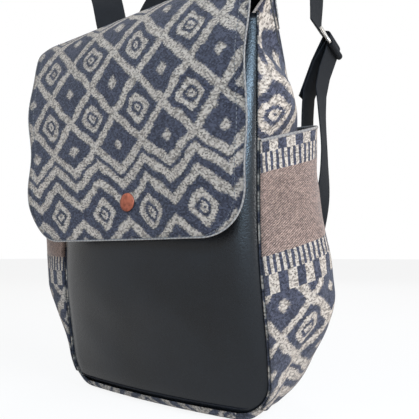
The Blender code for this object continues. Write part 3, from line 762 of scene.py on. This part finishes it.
def strip_point(side, level, turn, t, belly=no_belly, outward=0.0, rolled=1.0):
    front_x, front_z = seam_point("front", level, turn)
    back_x, back_z = seam_point("back", level, turn)
    y = lerp(seam_y("front", front_x, front_z), seam_y("back", back_x, back_z), t)
    z = lerp(front_z, back_z, t)
    across = math.sin(math.pi * t)
    lift = (side_bulge(z) * across + belly(side, z, t)) * math.cos(turn)
    down = math.sin(turn) ** 2
    x = lerp(front_x, back_x, t) + lift + outward * math.cos(turn)
    y += rolled * roll(t) * down
    z -= HEM_DIP * across * (1 - ease(0, 0.3, level)) + outward * math.sin(turn)
    z += (FABRIC / 2 - flat_sag(t)) * down
    return Vector((x if side == "right" else -x, y, z))


def bottom_point(share, t, raised=0.0, rolled=1.0):
    corner = lerp(CORNER["front"], CORNER["back"], t)
    x = share * (half_width("front", SEAM_HEIGHT) - corner)
    y = lerp(seam_y("front", x, SEAM_HEIGHT), seam_y("back", x, SEAM_HEIGHT), t) + rolled * roll(t)
    return Vector((x, y, SEAM_HEIGHT - flat_sag(t) + FABRIC / 2 + raised))


def gusset_folds(side, z, t):
    """Soft puckers, the swell above the pocket and the fold at the top corner of a gusset."""
    puckers = 0.0011 * ripple(z, t * 0.1, 0.022, 7.0 if side == "right" else 9.0)
    full = GUSSET_SWELL * bump(SWELL_HEIGHT, SWELL_REACH, z)
    hollow = GUSSET_HOLLOW * bump(HOLLOW_HEIGHT, HOLLOW_REACH, z)
    swell = (full - hollow) * math.sin(math.pi * t)
    corner = 0.006 * bump(0.24, 0.13, t) * ease(0.31, 0.345, z)
    return (puckers + swell - corner) * ease(0, 0.12, t) * ease(0, 0.12, 1 - t)


def pocket_folds(side, z, t):
    """Crease that runs down across the lower part of a pocket, and small puckers."""
    if side == "left":
        crease = lerp(0.66, 0.18, ease(0.02, 0.15, z))
    else:
        crease = lerp(0.22, 0.50, ease(0.02, 0.14, z))
    depth = 0.0042 * bump(crease, 0.10, t) * ease(0.0, 0.05, z) * (1 - ease(0.10, 0.15, z))
    wave = 0.0016 * ripple(z, t * 0.12, 0.030, 21.0 if side == "right" else 23.0)
    return (wave - depth) * ease(0, 0.10, t) * ease(0, 0.10, 1 - t)


def pocket_fall(side, z, t):
    return pocket_belly(side, z, t) + pocket_folds(side, z, t)


def build_panels(mat, thread_mat):
    for face in ("front", "back"):
        rows = panel_rows(face, PANEL_INSET, turned=PANEL_ROLL)
        sheet_piece(face + "_panel_leather", rows, mat, LEATHER, "leather", face + "_panel")
    line = []
    for level, turn in seam_stations(0.03):
        half, z = seam_point("back", level, turn, SEAM_ALLOWANCE)
        line.append(panel_point("back", half, z, LEATHER / 2 + STITCH_LIFT))
    other = [Vector((-p.x, p.y, p.z)) for p in line[::-1]]
    stitch_piece("back_panel_stitches", line + other, thread_mat, "leather")
    hem = [panel_point("front", x * PANEL_WIDTH / 2, FRONT_TOP - FRONT_HEM, LEATHER / 2 + STITCH_LIFT)
           for x in [k / 40 - 0.96 for k in range(78)]]
    stitch_piece("front_hem_stitches", hem, thread_mat, "leather")


def strip_rows(side, stations, fall, outward=0.0, rolled=1.0, columns=44):
    """Rows along a gusset or what follows it, each from the front seam to the back seam."""
    places = strip_columns(columns)
    return [[strip_point(side, level, turn, t, fall, outward, rolled) for t in places]
            for level, turn in stations]


def build_gussets(mat, edge_mat):
    ring_u, ring_v = GUSSET_RING
    draw_u, draw_v = GUSSET_DRAW
    for side in ("right", "left"):
        rows = strip_rows(side, seam_stations(), gusset_folds)
        laid = [[((u - ring_u) * draw_u, (v - ring_v) * draw_v, w) for u, v, w in row]
                for row in arc_places(rows)]
        obj = grid_object("side_gusset_fabric_" + side, rows, laid, mat, FABRIC)
        place_piece(obj, "root", "patterned_fabric", "side_gusset_" + side)
        hem = tube("side_gusset_hem_" + side, rows[0], GUSSET_HEM_RADIUS, edge_mat)
        place_piece(hem, "root", "patterned_fabric")


def build_pockets(mat, edge_mat):
    for side in ("right", "left"):
        stations = seam_stations(POCKET_LEVEL, POCKET_END_TURN)
        rows = strip_rows(side, stations, pocket_fall, FABRIC + POCKET_CLEARANCE)
        sheet_piece("side_pocket_fabric_" + side, rows, mat, FABRIC, "patterned_fabric",
                    "side_pocket_" + side)
        hem = tube("side_pocket_hem_" + side, rows[0], POCKET_HEM_RADIUS, edge_mat)
        place_piece(hem, "root", "patterned_fabric")


def build_bottom(mat):
    rows = [[bottom_point(2 * c / 60 - 1, t) for t in strip_columns()] for c in range(61)]
    sheet_piece("bottom_fabric", rows, mat, FABRIC, "patterned_fabric", "bottom_panel")


def build_lining(mat):
    for face in ("front", "back"):
        rows = panel_rows(face, LINING_INSET, -LINING_STEP, LINING_INSET, 40)
        sheet_piece("lining_" + face, rows, mat, LINING, "lining", "lining")
    for side in ("right", "left"):
        stations = seam_stations(LINING_INSET / FRONT_TOP, side_rows=40)
        rows = strip_rows(side, stations, gusset_folds, -LINING_INSET, 0, 24)
        sheet_piece("lining_side_" + side, rows, mat, LINING, "lining")
    rows = [[bottom_point(2 * c / 40 - 1, t, LINING_INSET, 0) for t in strip_columns(24)] for c in range(41)]
    sheet_piece("lining_floor", rows, mat, LINING, "lining")


# Flap

def flap_profile():
    foot = panel_point("back", 0, BACK_TOP - FLAP_HEM, FLAP_OFFSET)
    brim = panel_point("back", 0, BACK_TOP, FLAP_OFFSET)
    front_y = -BASE_DEPTH / 2 - FLAP_STANDOFF
    ridge = BACK_TOP + FLAP_RISE
    drop = ridge - FLAP_BOTTOM
    fall = [(0.05, 0), (0.22, 0.025), (0.39, 0.055), (0.616, 0.092), (0.79, 0.150), (0.88, 0.195),
            (0.955, 0.277), (1.0, 0.402), (1.015, 0.590), (1.0, 0.824), (0.975, 1.0)]
    return [Vector((foot.y, foot.z)), Vector((brim.y, brim.z))] + [
        Vector((lerp(brim.y, front_y, forward), ridge - down * drop)) for forward, down in fall]


def flap_stations(rows=110, corner_rows=26):
    """Rows down the flap as (y, z, half width, place along the cloth)."""
    profile = flap_profile()
    fine = [catmull(profile, i / 600) for i in range(601)]
    lengths = [0.0]
    for a, b in zip(fine, fine[1:]):
        lengths.append(lengths[-1] + (b - a).length)
    total = lengths[-1]
    places = [lerp(0, total - FLAP_CORNER, i / rows) for i in range(rows)]
    places += [total - FLAP_CORNER * (1 - math.sin(math.pi / 2 * i / corner_rows))
               for i in range(corner_rows + 1)]
    stations = []
    for place in places:
        i = max(n for n in range(len(lengths) - 1) if lengths[n] <= place + 1e-9)
        f = (place - lengths[i]) / (lengths[i + 1] - lengths[i])
        point = fine[i].lerp(fine[i + 1], f)
        half = lerp(FLAP_BACK_WIDTH, FLAP_WIDTH, ease(0.04, 0.24, place / total)) / 2
        left = max(0.0, FLAP_CORNER - (total - place))
        half -= FLAP_CORNER - math.sqrt(max(0.0, FLAP_CORNER ** 2 - left ** 2))
        stations.append((point.x, point.y, half, place))
    return stations, total


def flap_push(x, z):
    away = ((x - SNAP_X) / DIMPLE_SPREAD) ** 2 + ((z - SNAP_HEIGHT) / (1.3 * DIMPLE_SPREAD)) ** 2
    wave = 0.0022 * math.sin(z * 75 + 1.2) * (abs(x) / (FLAP_WIDTH / 2)) ** 3
    return DIMPLE * math.exp(-away) + wave


def flap_droop(x, z):
    ridge = ease(BACK_TOP, BACK_TOP + FLAP_RISE, z)
    return FLAP_DROOP * ridge * (abs(x) / (FLAP_WIDTH / 2)) ** 4


def flap_folds(x, z):
    """Shallow folds of the hanging cloth: unevenness, and a crease down near the right edge."""
    away = math.hypot(x - SNAP_X, z - SNAP_HEIGHT)
    uneven = 0.0016 * ripple(x, z, 0.050, 5.0) * ease(0.012, 0.05, away)
    crease = 0.0016 * bump(0.080, 0.014, x) * bump(0.285, 0.055, z)
    return uneven + crease


def flap_rows(outward, columns=96):
    stations, total = flap_stations()
    rows = []
    cloth = []
    for i, (y, z, half, place) in enumerate(stations):
        before = stations[max(i - 1, 0)]
        after = stations[min(i + 1, len(stations) - 1)]
        along = Vector((0, after[0] - before[0], after[1] - before[1])).normalized()
        normal = Vector((0, along.z, -along.y))
        front = ease(0.25, 0.45, place / total)
        row = []
        marks = []
        for c in range(columns + 1):
            x = half * (1 - 2 * c / columns)
            push = flap_push(x, z) + flap_folds(x, z)
            point = Vector((x, y + push * front, z - flap_droop(x, z)))
            row.append(point + normal * outward)
            marks.append((x, place, min(half - abs(x), total - place)))
        rows.append(row)
        cloth.append(marks)
    return rows, cloth, total


def pattern_on_flap(cloth, total):
    """Lay the pattern with a ring at RING_COLUMN and RING_UP above the lower edge, leaning as it was cut."""
    laid = []
    for row in cloth:
        marks = []
        for x, place, w in row:
            v = place - (total - RING_UP)
            marks.append((x - RING_COLUMN - LEAN * v - LEAN_BELOW * max(v, 0.0), v, w))
        laid.append(marks)
    return laid


def build_flap(mat, lining_mat, edge_mat, thread_mat):
    rows, cloth, total = flap_rows(0.0)
    flap = grid_object("flap_fabric", rows, pattern_on_flap(cloth, total), mat, FABRIC)
    place_piece(flap, "root", "patterned_fabric", "flap")
    inner_offset = -(FABRIC / 2 + LAYER_GAP + LINING / 2)
    inner_rows, inner_cloth, total = flap_rows(inner_offset, 60)
    inner = grid_object("flap_lining_cloth", inner_rows, inner_cloth, lining_mat, LINING)
    place_piece(inner, "root", "lining", "flap_lining")
    edge = [row[0] for row in rows] + rows[-1][1:] + [row[-1] for row in rows[::-1]][1:]
    hem = tube("flap_hem", edge, FLAP_HEM_RADIUS, edge_mat)
    place_piece(hem, "root", "patterned_fabric")
    outer, _, _ = flap_rows(FABRIC / 2 + STITCH_LIFT)
    inset = [row[3] for row in outer[:-3]] + outer[-4][4:-4] + [row[-4] for row in outer[:-3][::-1]]
    seam = stitch_piece("flap_stitches", inset, thread_mat, "patterned_fabric")
    stations, total = flap_stations()
    area = sum((a[2] + b[2]) * (b[3] - a[3]) for a, b in zip(stations, stations[1:]))


# Webbing

def band(name, stations, width, thickness, mat):
    """Flat webbing with full edges along stations of (centre, direction across)."""
    half = [(-0.5, 0.0), (-0.485, 0.42), (-0.45, 0.5), (-0.25, 0.5), (0, 0.5), (0.25, 0.5), (0.45, 0.5),
            (0.485, 0.42)]
    profile = half + [(-s, -h) for s, h in half]
    rows = []
    cloth = []
    points = [point for point, _ in stations]
    for (point, along, travelled), (_, across) in zip(walk(points), stations):
        flat = (across - along * across.dot(along)).normalized()
        normal = along.cross(flat)
        rows.append([point + flat * (width * s) + normal * (thickness * h) for s, h in profile])
        cloth.append([(width * s, travelled, 0.01) for s, _ in profile])
    return grid_object(name, rows, cloth, mat, closed=True, capped=True)


def wrap(pins, step=math.radians(12)):
    """Path in a plane round pins (x, z, radius); a radius below 0 keeps the pin on the right."""
    tangents = []
    for (ax, az, ar), (bx, bz, br) in zip(pins, pins[1:]):
        gap = Vector((bx - ax, bz - az))
        k = br - ar
        length = math.sqrt(gap.length_squared - k * k)
        along = (gap * length - Vector((-gap.y, gap.x)) * k) / gap.length_squared
        left = Vector((-along.y, along.x))
        tangents.append((Vector((ax, az)) - left * ar, Vector((bx, bz)) - left * br))
    path = [tangents[0][0]]
    for (x, z, radius), (_, arrive), (leave, _) in zip(pins[1:-1], tangents, tangents[1:]):
        centre = Vector((x, z))
        start = math.atan2(arrive.y - z, arrive.x - x)
        end = math.atan2(leave.y - z, leave.x - x)
        sweep = (end - start) % (2 * math.pi) if radius > 0 else -((start - end) % (2 * math.pi))
        count = max(2, math.ceil(abs(sweep) / step))
        for i in range(count + 1):
            angle = start + sweep * i / count
            path.append(centre + Vector((math.cos(angle), math.sin(angle))) * abs(radius))
    path.append(tangents[-1][1])
    return path


def across_at(degrees):
    return Vector((math.cos(math.radians(degrees)), math.sin(math.radians(degrees)), 0))


def smooth_route(points, count):
    places = [Vector(p[:3]) for p in points]
    turns = [p[3] for p in points]
    return [(catmull(places, i / count), across_at(catmull(turns, i / count))) for i in range(count + 1)]


SLIDER_CENTRE = Vector((0.1435, 0.070, 0.380))
SLIDER_TILT = Vector((0.45, 0, -0.89)).normalized()
SLIDER_PITCH = SLIDER_LENGTH / 2 - WIRE / 2

# The doubled run between slider and ring: middle (x, y, z), turn in degrees, half the gap
STRAP_RUN = [
    (0.1258, 0.0700, 0.330, 90, 0.0068),
    (0.1245, 0.0700, 0.303, 90, 0.0070),
    (0.1245, 0.0710, 0.258, 88, 0.0080),
    (0.1220, 0.0745, 0.213, 75, 0.0080),
    (0.1100, 0.0790, 0.163, 42, 0.0056),
    (0.0985, 0.0755, 0.125, 14, 0.0040),
]

# The arch from the slider over to the top of the back, as (x, y, z, degrees)
STRAP_ARCH = {
    "right": [
        (0.1270, 0.070, 0.415, 90),
        (0.1275, 0.069, 0.445, 84),
        (0.1250, 0.058, 0.476, 68),
        (0.1170, 0.038, 0.494, 46),
        (0.1060, 0.017, 0.488, 24),
        (0.0950, 0.001, 0.462, 6),
        (0.0880, -0.008, 0.430, 0),
    ],
    "left": [
        (0.1300, 0.070, 0.415, 90),
        (0.1500, 0.069, 0.439, 84),
        (0.1760, 0.063, 0.474, 66),
        (0.1790, 0.045, 0.504, 30),
        (0.1540, 0.022, 0.512, -8),
        (0.1260, 0.004, 0.478, -30),
        (0.1080, -0.005, 0.438, -26),
    ],
}


def strap_pieces(side):
    """Stations of a right-hand strap in four stretches: inner run, ring bend, outer run, arch."""
    turn = WIRE / 2 + FITTING_CLEARANCE + WEBBING / 2
    over = turn + WEBBING + FITTING_CLEARANCE
    y = SLIDER_CENTRE.y
    upright = across_at(90)
    centre = (SLIDER_CENTRE.x, SLIDER_CENTRE.z)
    upper = SLIDER_CENTRE - SLIDER_TILT * SLIDER_PITCH
    lower = SLIDER_CENTRE + SLIDER_TILT * SLIDER_PITCH
    inner, outer = [], []
    for i, (x, yy, z, degrees, gap) in enumerate(STRAP_RUN):
        free = math.sin(math.pi * i / (len(STRAP_RUN) - 1))
        normal = Vector((-across_at(degrees).y, across_at(degrees).x, 0))
        inner.append((*(Vector((x, yy, z)) + normal * gap), degrees))
        outer.append((*(Vector((x, yy, z)) - normal * (gap + OUTER_SWAY * free)),
                      degrees + OUTER_TURN * free))
    leg = Vector((0.1300, y, 0.357))
    down = (Vector(inner[0][:3]) - leg).normalized()
    beside = Vector((down.z, 0, -down.x)) * (WEBBING + FITTING_CLEARANCE)
    tail_top = leg + beside
    tail_end = tail_top + down * (DOUBLED_END - (SLIDER_CENTRE - leg).length)
    loop = wrap([(tail_top.x, tail_top.z, 0), (*centre, -turn), (leg.x, leg.z, 0)])
    first = [(tail_end.lerp(tail_top, k / 8), upright) for k in range(8)]
    first += [(Vector((p.x, y, p.y)), upright) for p in loop]
    top = RING_PIVOT + Vector((0, math.sin(RING_LEAN), math.cos(RING_LEAN))) * (RING_HEIGHT - WIRE)
    above = top + Vector((0, RING_EASE * 0.3, RING_EASE))
    beside_bar = 1.2 * turn
    bend = wrap([(above.y + beside_bar, above.z, 0), (top.y, top.z, -turn),
                 (above.y - beside_bar, above.z, 0)])
    first += smooth_route(inner + [(top.x, *bend[0], 0)], 60)
    ring = [(Vector((top.x, p.x, p.y)), across_at(0)) for p in bend]
    ring[1:1] = [(ring[0][0].lerp(ring[1][0], k / 5), across_at(0)) for k in range(1, 5)]
    ring[-1:-1] = [(ring[-2][0].lerp(ring[-1][0], k / 5), across_at(0)) for k in range(1, 5)]
    third = smooth_route([(top.x, *bend[-1], 0)] + outer[::-1], 60)
    meet = Vector((0.1365, y, 0.349))
    weave = wrap([(meet.x, meet.z, 0), (lower.x, lower.z, -turn), (*centre, over), (upper.x, upper.z, -turn),
                  (STRAP_ARCH[side][0][0], STRAP_ARCH[side][0][2] - 0.012, 0)])
    woven = [(Vector((p.x, y, p.y)), upright) for p in weave]
    half = len(woven) // 2
    third += woven[:half + 1]
    sewn = [panel_point("back", STRAP_ANCHOR_X, BACK_TOP - share * STRAP_SEWN, STRAP_OFFSET)
            for share in (0, 0.25, 0.5, 0.75, 1)]
    rise = sewn[0] + Vector((0, 0.3 * RING_EASE, RING_EASE))
    arch = woven[half:] + smooth_route(STRAP_ARCH[side] + [(*rise, 0)], 70)
    arch += [(point, across_at(0)) for point in sewn]
    return {"inner_run": first, "ring_bend": ring, "outer_run": third, "arch": arch}


def box_stitch(name, centre, down, across, normal, length, width, mat):
    """Square of stitches with one diagonal, on the face of a doubled webbing."""
    def at(a, b):
        return centre + down * (length * a) + across * (width * b) + normal

    corners = [at(-0.5, -0.5), at(0.5, -0.5), at(0.5, 0.5), at(-0.5, 0.5), at(-0.5, -0.5), at(0.5, 0.5)]
    path = [a.lerp(b, k / 20) for a, b in zip(corners, corners[1:]) for k in range(21)]
    return stitches(name, path, mat, pitch=0.0030, length=0.0021)


def mirrored(point, sign):
    return Vector((sign * point.x, point.y, point.z))


def build_straps(mat, thread_mat):
    """Straps in four stretches that follow their slider and ring, and the stitches of their sewn ends."""
    for side in ("right", "left"):
        sign = 1 if side == "right" else -1
        for part, stations in strap_pieces(side).items():
            stations = [(mirrored(p, sign), mirrored(a, sign)) for p, a in stations]
            first, across = stations[0]
            obj = band(f"strap_{part}_{side}", stations, STRAP_WIDTH, WEBBING, mat)
            if part == "ring_bend":
                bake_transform(obj)
            elif part == "arch":
                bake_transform(obj)
            else:
                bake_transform(obj)
            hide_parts("shoulder_strap_" + side)
            if part == "inner_run":
                along = (first - stations[8][0]).normalized()
                outward = Vector((sign * along.z, 0, -sign * along.x)).normalized()
                sewn = box_stitch("strap_stitches_" + side, first - along * BOX_FROM_END, along, across,
                                  outward * (WEBBING / 2 + STITCH_LIFT), *BOX_STITCH, thread_mat)
                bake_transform(sewn)


def wire_frame(name, width, height, mat, bar):
    """Rounded rectangle of wire in its own YZ plane, with a centre bar if asked."""
    half_w = width / 2 - WIRE / 2
    half_h = height / 2 - WIRE / 2
    round_off = WIRE * 0.9
    curve = bpy.data.curves.new(name, "CURVE")
    curve.dimensions = "3D"
    curve.bevel_depth = WIRE / 2
    curve.bevel_resolution = 5
    curve.use_fill_caps = True
    spline = curve.splines.new("POLY")
    points = []
    corners = ((half_w, half_h, 0), (-half_w, half_h, 90), (-half_w, -half_h, 180), (half_w, -half_h, 270))
    for cy, cz, start in corners:
        for step in range(9):
            angle = math.radians(start + 90 * step / 8)
            points.append((0, cy - math.copysign(round_off, cy) + round_off * math.cos(angle),
                           cz - math.copysign(round_off, cz) + round_off * math.sin(angle)))
    spline.points.add(len(points) - 1)
    for target, point in zip(spline.points, points):
        target.co = (*point, 1)
    spline.use_cyclic_u = True
    if bar:
        middle = curve.splines.new("POLY")
        middle.points.add(1)
        middle.points[0].co = (0, -half_w, 0, 1)
        middle.points[1].co = (0, half_w, 0, 1)
    curve.materials.append(mat)
    return add_object(name, curve)


def build_fittings(mat):
    window = STRAP_WIDTH + 2 * SLIDER_MARGIN
    for side in ("right", "left"):
        sign = 1 if side == "right" else -1
        slider = wire_frame("slider_wire_" + side, window + 2 * WIRE, SLIDER_LENGTH, mat, True)
        slider.location = mirrored(SLIDER_CENTRE, sign)
        slider.rotation_euler = (0, -sign * math.atan2(SLIDER_TILT.x, -SLIDER_TILT.z), 0)
        place_piece(slider, "slider_" + side, "nickel", "slider_" + side)
        ring = wire_frame("ring_wire_" + side, window + 2 * WIRE, RING_HEIGHT, mat, False)
        lift = (RING_HEIGHT - WIRE) / 2
        ring.location = (sign * RING_PIVOT.x, RING_PIVOT.y + lift * math.sin(RING_LEAN),
                         RING_PIVOT.z + lift * math.cos(RING_LEAN))
        ring.rotation_euler = (0, -RING_LEAN, math.pi / 2)
        place_piece(ring, "ring_" + side, "nickel", "ring_" + side)


def build_handle(mat):
    """Low arch of webbing standing on edge, its feet sewn to the top of the back."""
    ridge = BACK_TOP + FLAP_RISE
    stand = panel_point("back", 0, BACK_TOP, STRAP_OFFSET).y
    half = HANDLE_SPAN / 2
    under = ridge + HANDLE_GAP
    over = under + HANDLE_WEB
    outer = [(half + HANDLE_LEG, ridge), (half + HANDLE_LEG * 0.2, ridge + 0.6 * (over - ridge)),
             (half * 0.72, over - 0.003), (0, over)]
    inner = [(half, ridge), (half * 0.66, under - 0.001), (half * 0.33, under), (0, under)]
    side = []
    for k in range(7):
        z = BACK_TOP - 0.001 - STRAP_SEWN * (1 - k / 6)
        side.append([panel_point("back", half + HANDLE_LEG * (1 - c / 8), z, STRAP_OFFSET)
                     for c in range(9)])
    for i in range(33):
        a = catmull([Vector(p) for p in outer], i / 32)
        b = catmull([Vector(p) for p in inner], i / 32)
        side.append([Vector((lerp(a.x, b.x, c / 8), stand + 0.0012 * math.sin(math.pi * c / 8) * i / 32,
                             lerp(a.y, b.y, c / 8))) for c in range(9)])
    rows = side + [[Vector((-p.x, p.y, p.z)) for p in row] for row in side[:-1][::-1]]
    sheet_piece("grab_handle_webbing", rows, mat, WEBBING, "webbing", "grab_handle")


def build_anchor_band(mat, thread_mat):
    far = STRAP_OFFSET + WEBBING / 2 + LAYER_GAP + LEATHER / 2
    low = BACK_TOP - STRAP_SEWN - 0.006
    high = BACK_TOP - 0.005
    half = half_width("back", BACK_TOP) + 0.0005

    def at(x, z, out=0.0):
        swell = 0.0009 * bump(STRAP_ANCHOR_X, 0.026, abs(x)) * bump((low + high) / 2, 0.014, z)
        return panel_point("back", x, z, far + out + swell)

    rows = [[at(half * (2 * c / 90 - 1), lerp(low, high, r / 14)) for c in range(91)] for r in range(15)]
    sheet_piece("anchor_band_leather", rows, mat, LEATHER, "leather", "strap_anchor_band")
    outline = []
    for a, b in (((-1, 0), (1, 0)), ((1, 0), (1, 1)), ((1, 1), (-1, 1)), ((-1, 1), (-1, 0))):
        for k in range(60):
            x = lerp(a[0], b[0], k / 60) * (half - 0.003)
            z = lerp(low + 0.003, high - 0.003, lerp(a[1], b[1], k / 60))
            outline.append(at(x, z, LEATHER / 2 + STITCH_LIFT))
    stitch_piece("anchor_band_stitches", outline, thread_mat, "leather")


def build_cap(mat):
    """Domed cap of the snap with a rolled rim, turned about the flap's outward axis."""
    low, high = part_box("snap_cap")
    radius = (high.x - low.x) / 2
    dome = 0.0022
    face = low.y + dome
    centre = Vector(((low.x + high.x) / 2, face, (low.z + high.z) / 2))
    profile = [(0.0, 1.0), (0.25, 0.985), (0.5, 0.93), (0.7, 0.84), (0.82, 0.74), (0.88, 0.64), (0.94, 0.62),
               (0.985, 0.5), (1.0, 0.3), (0.985, 0.08), (0.93, 0.0), (0.5, 0.0), (0.1, 0.0)]
    rows = []
    for share, height in profile:
        reach = max(share * radius, 0.00005)
        rows.append([centre + Vector((reach * math.cos(a), -dome * height, reach * math.sin(a)))
                     for a in [2 * math.pi * k / 48 for k in range(48)]])
    cloth = [[(0.0, 0.0, 0.0)] * 48 for _ in rows]
    obj = grid_object("snap_cap_dome", rows, cloth, mat, closed=True)
    place_piece(obj, "root", "copper", "snap_cap")


# Studio

def build_camera():
    data = bpy.data.cameras.new("camera")
    camera = add_object("camera", data)
    camera.location = CAMERA_PLACE
    camera.rotation_euler = (math.pi / 2, 0, CAMERA_YAW)
    data.sensor_width = 36.0
    data.lens = 36.0 * FOCAL_PIXELS / IMAGE_PIXELS
    data.shift_y = (HORIZON_ROW - IMAGE_PIXELS / 2) / IMAGE_PIXELS
    data.dof.use_dof = False
    bpy.context.scene.camera = camera


def area_light(name, place, target, size, power, color):
    data = bpy.data.lights.new(name, "AREA")
    data.size = size
    data.energy = power
    data.color = color
    light = add_object(name, data)
    light.location = place
    light.rotation_euler = (Vector(target) - Vector(place)).to_track_quat("-Z", "Y").to_euler()


def seen_white(tree, shader, strength):
    """Mix a shader with white where the camera, a mirror or clear glass shows it."""
    path = tree.nodes.new("ShaderNodeLightPath")
    seen = Field(tree, path.outputs["Is Camera Ray"])
    for ray in ("Is Glossy Ray", "Is Transmission Ray"):
        seen = seen.max(Field(tree, path.outputs[ray]))
    share = seen * strength
    white = tree.nodes.new("ShaderNodeEmission")
    white.inputs["Color"].default_value = (1, 1, 1, 1)
    white.inputs["Strength"].default_value = 1.0
    mix = tree.nodes.new("ShaderNodeMixShader")
    tree.links.new(share.socket, mix.inputs[0])
    tree.links.new(shader, mix.inputs[1])
    tree.links.new(white.outputs[0], mix.inputs[2])
    return mix.outputs[0]


def build_studio():
    world = bpy.data.worlds.new("studio")
    bpy.context.scene.world = world
    world.use_nodes = True
    tree = world.node_tree
    background = tree.nodes["Background"]
    background.inputs["Color"].default_value = (0.94, 0.96, 1.0, 1)
    background.inputs["Strength"].default_value = 0.22
    seen = seen_white(tree, background.outputs[0], 1.0)
    tree.links.new(seen, tree.nodes["World Output"].inputs["Surface"])
    bpy.ops.mesh.primitive_plane_add(size=40.0, location=(0, 0, -0.0003))
    floor = bpy.context.object
    floor.name = "floor"
    mat = bpy.data.materials.new("pale floor")
    mat.use_nodes = True
    shader = mat.node_tree.nodes["Principled BSDF"]
    shader.inputs["Base Color"].default_value = (0.80, 0.80, 0.81, 1)
    shader.inputs["Roughness"].default_value = 0.9
    seen = seen_white(mat.node_tree, shader.outputs[0], 0.88)
    mat.node_tree.links.new(seen, mat.node_tree.nodes["Material Output"].inputs["Surface"])
    floor.data.materials.append(mat)
    middle = (0, 0, 0.22)
    area_light("key", (-0.7, -1.4, 1.6), middle, 1.0, 13, (1.0, 0.96, 0.91))
    area_light("window", (0.82, -1.06, 0.735), middle, 0.35, 19, (0.52, 0.76, 1.0))
    area_light("side", (1.7, -0.1, 0.8), middle, 0.8, 38, (0.95, 0.97, 1.0))
    area_light("back", (-0.6, 1.5, 1.3), middle, 1.2, 9, (1.0, 1.0, 1.0))
    bpy.context.scene.view_settings.view_transform = "Standard"


def dress_small_nodes(leather_mat, metal_mat):
    """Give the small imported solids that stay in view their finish."""
    for node, mat in (("ring_tab_right", leather_mat), ("ring_tab_left", leather_mat),
                      ("snap_socket", metal_mat), ("snap_stud", metal_mat)):
        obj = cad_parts[node]
        obj.data.materials.clear()
        obj.data.materials.append(mat)


def main():
    patterned = jacquard("patterned fabric")
    pocket = pocket_fabric("pocket fabric")
    edging = plain_weave("edge threads", srgb(48, 47, 56), srgb(176, 166, 156), 0.0040, 0.9)
    dark = leather("dark leather")
    inside = plain_weave("lining cloth", srgb(20, 20, 23), srgb(36, 36, 41), 0.0008, 0.85)
    webbing = plain_weave("webbing weave", srgb(10, 11, 13), srgb(25, 27, 31), 0.0014, 0.75)
    nickel = metal("nickel plate", (0.70, 0.68, 0.65, 1), (0.50, 0.47, 0.43, 1), 0.18, 0.05)
    copper = metal("copper plate", srgb(158, 96, 78), srgb(108, 62, 50), 0.42, 0.15)
    dark_thread = thread("dark thread", srgb(58, 60, 68))
    build_panels(dark, dark_thread)
    build_gussets(patterned, edging)
    build_pockets(pocket, edging)
    build_bottom(patterned)
    build_lining(inside)
    build_flap(patterned, inside, edging, dark_thread)
    build_straps(webbing, dark_thread)
    build_fittings(nickel)
    build_handle(webbing)
    build_anchor_band(dark, dark_thread)
    build_cap(copper)
    dress_small_nodes(dark, copper)
    build_camera()
    build_studio()


main()
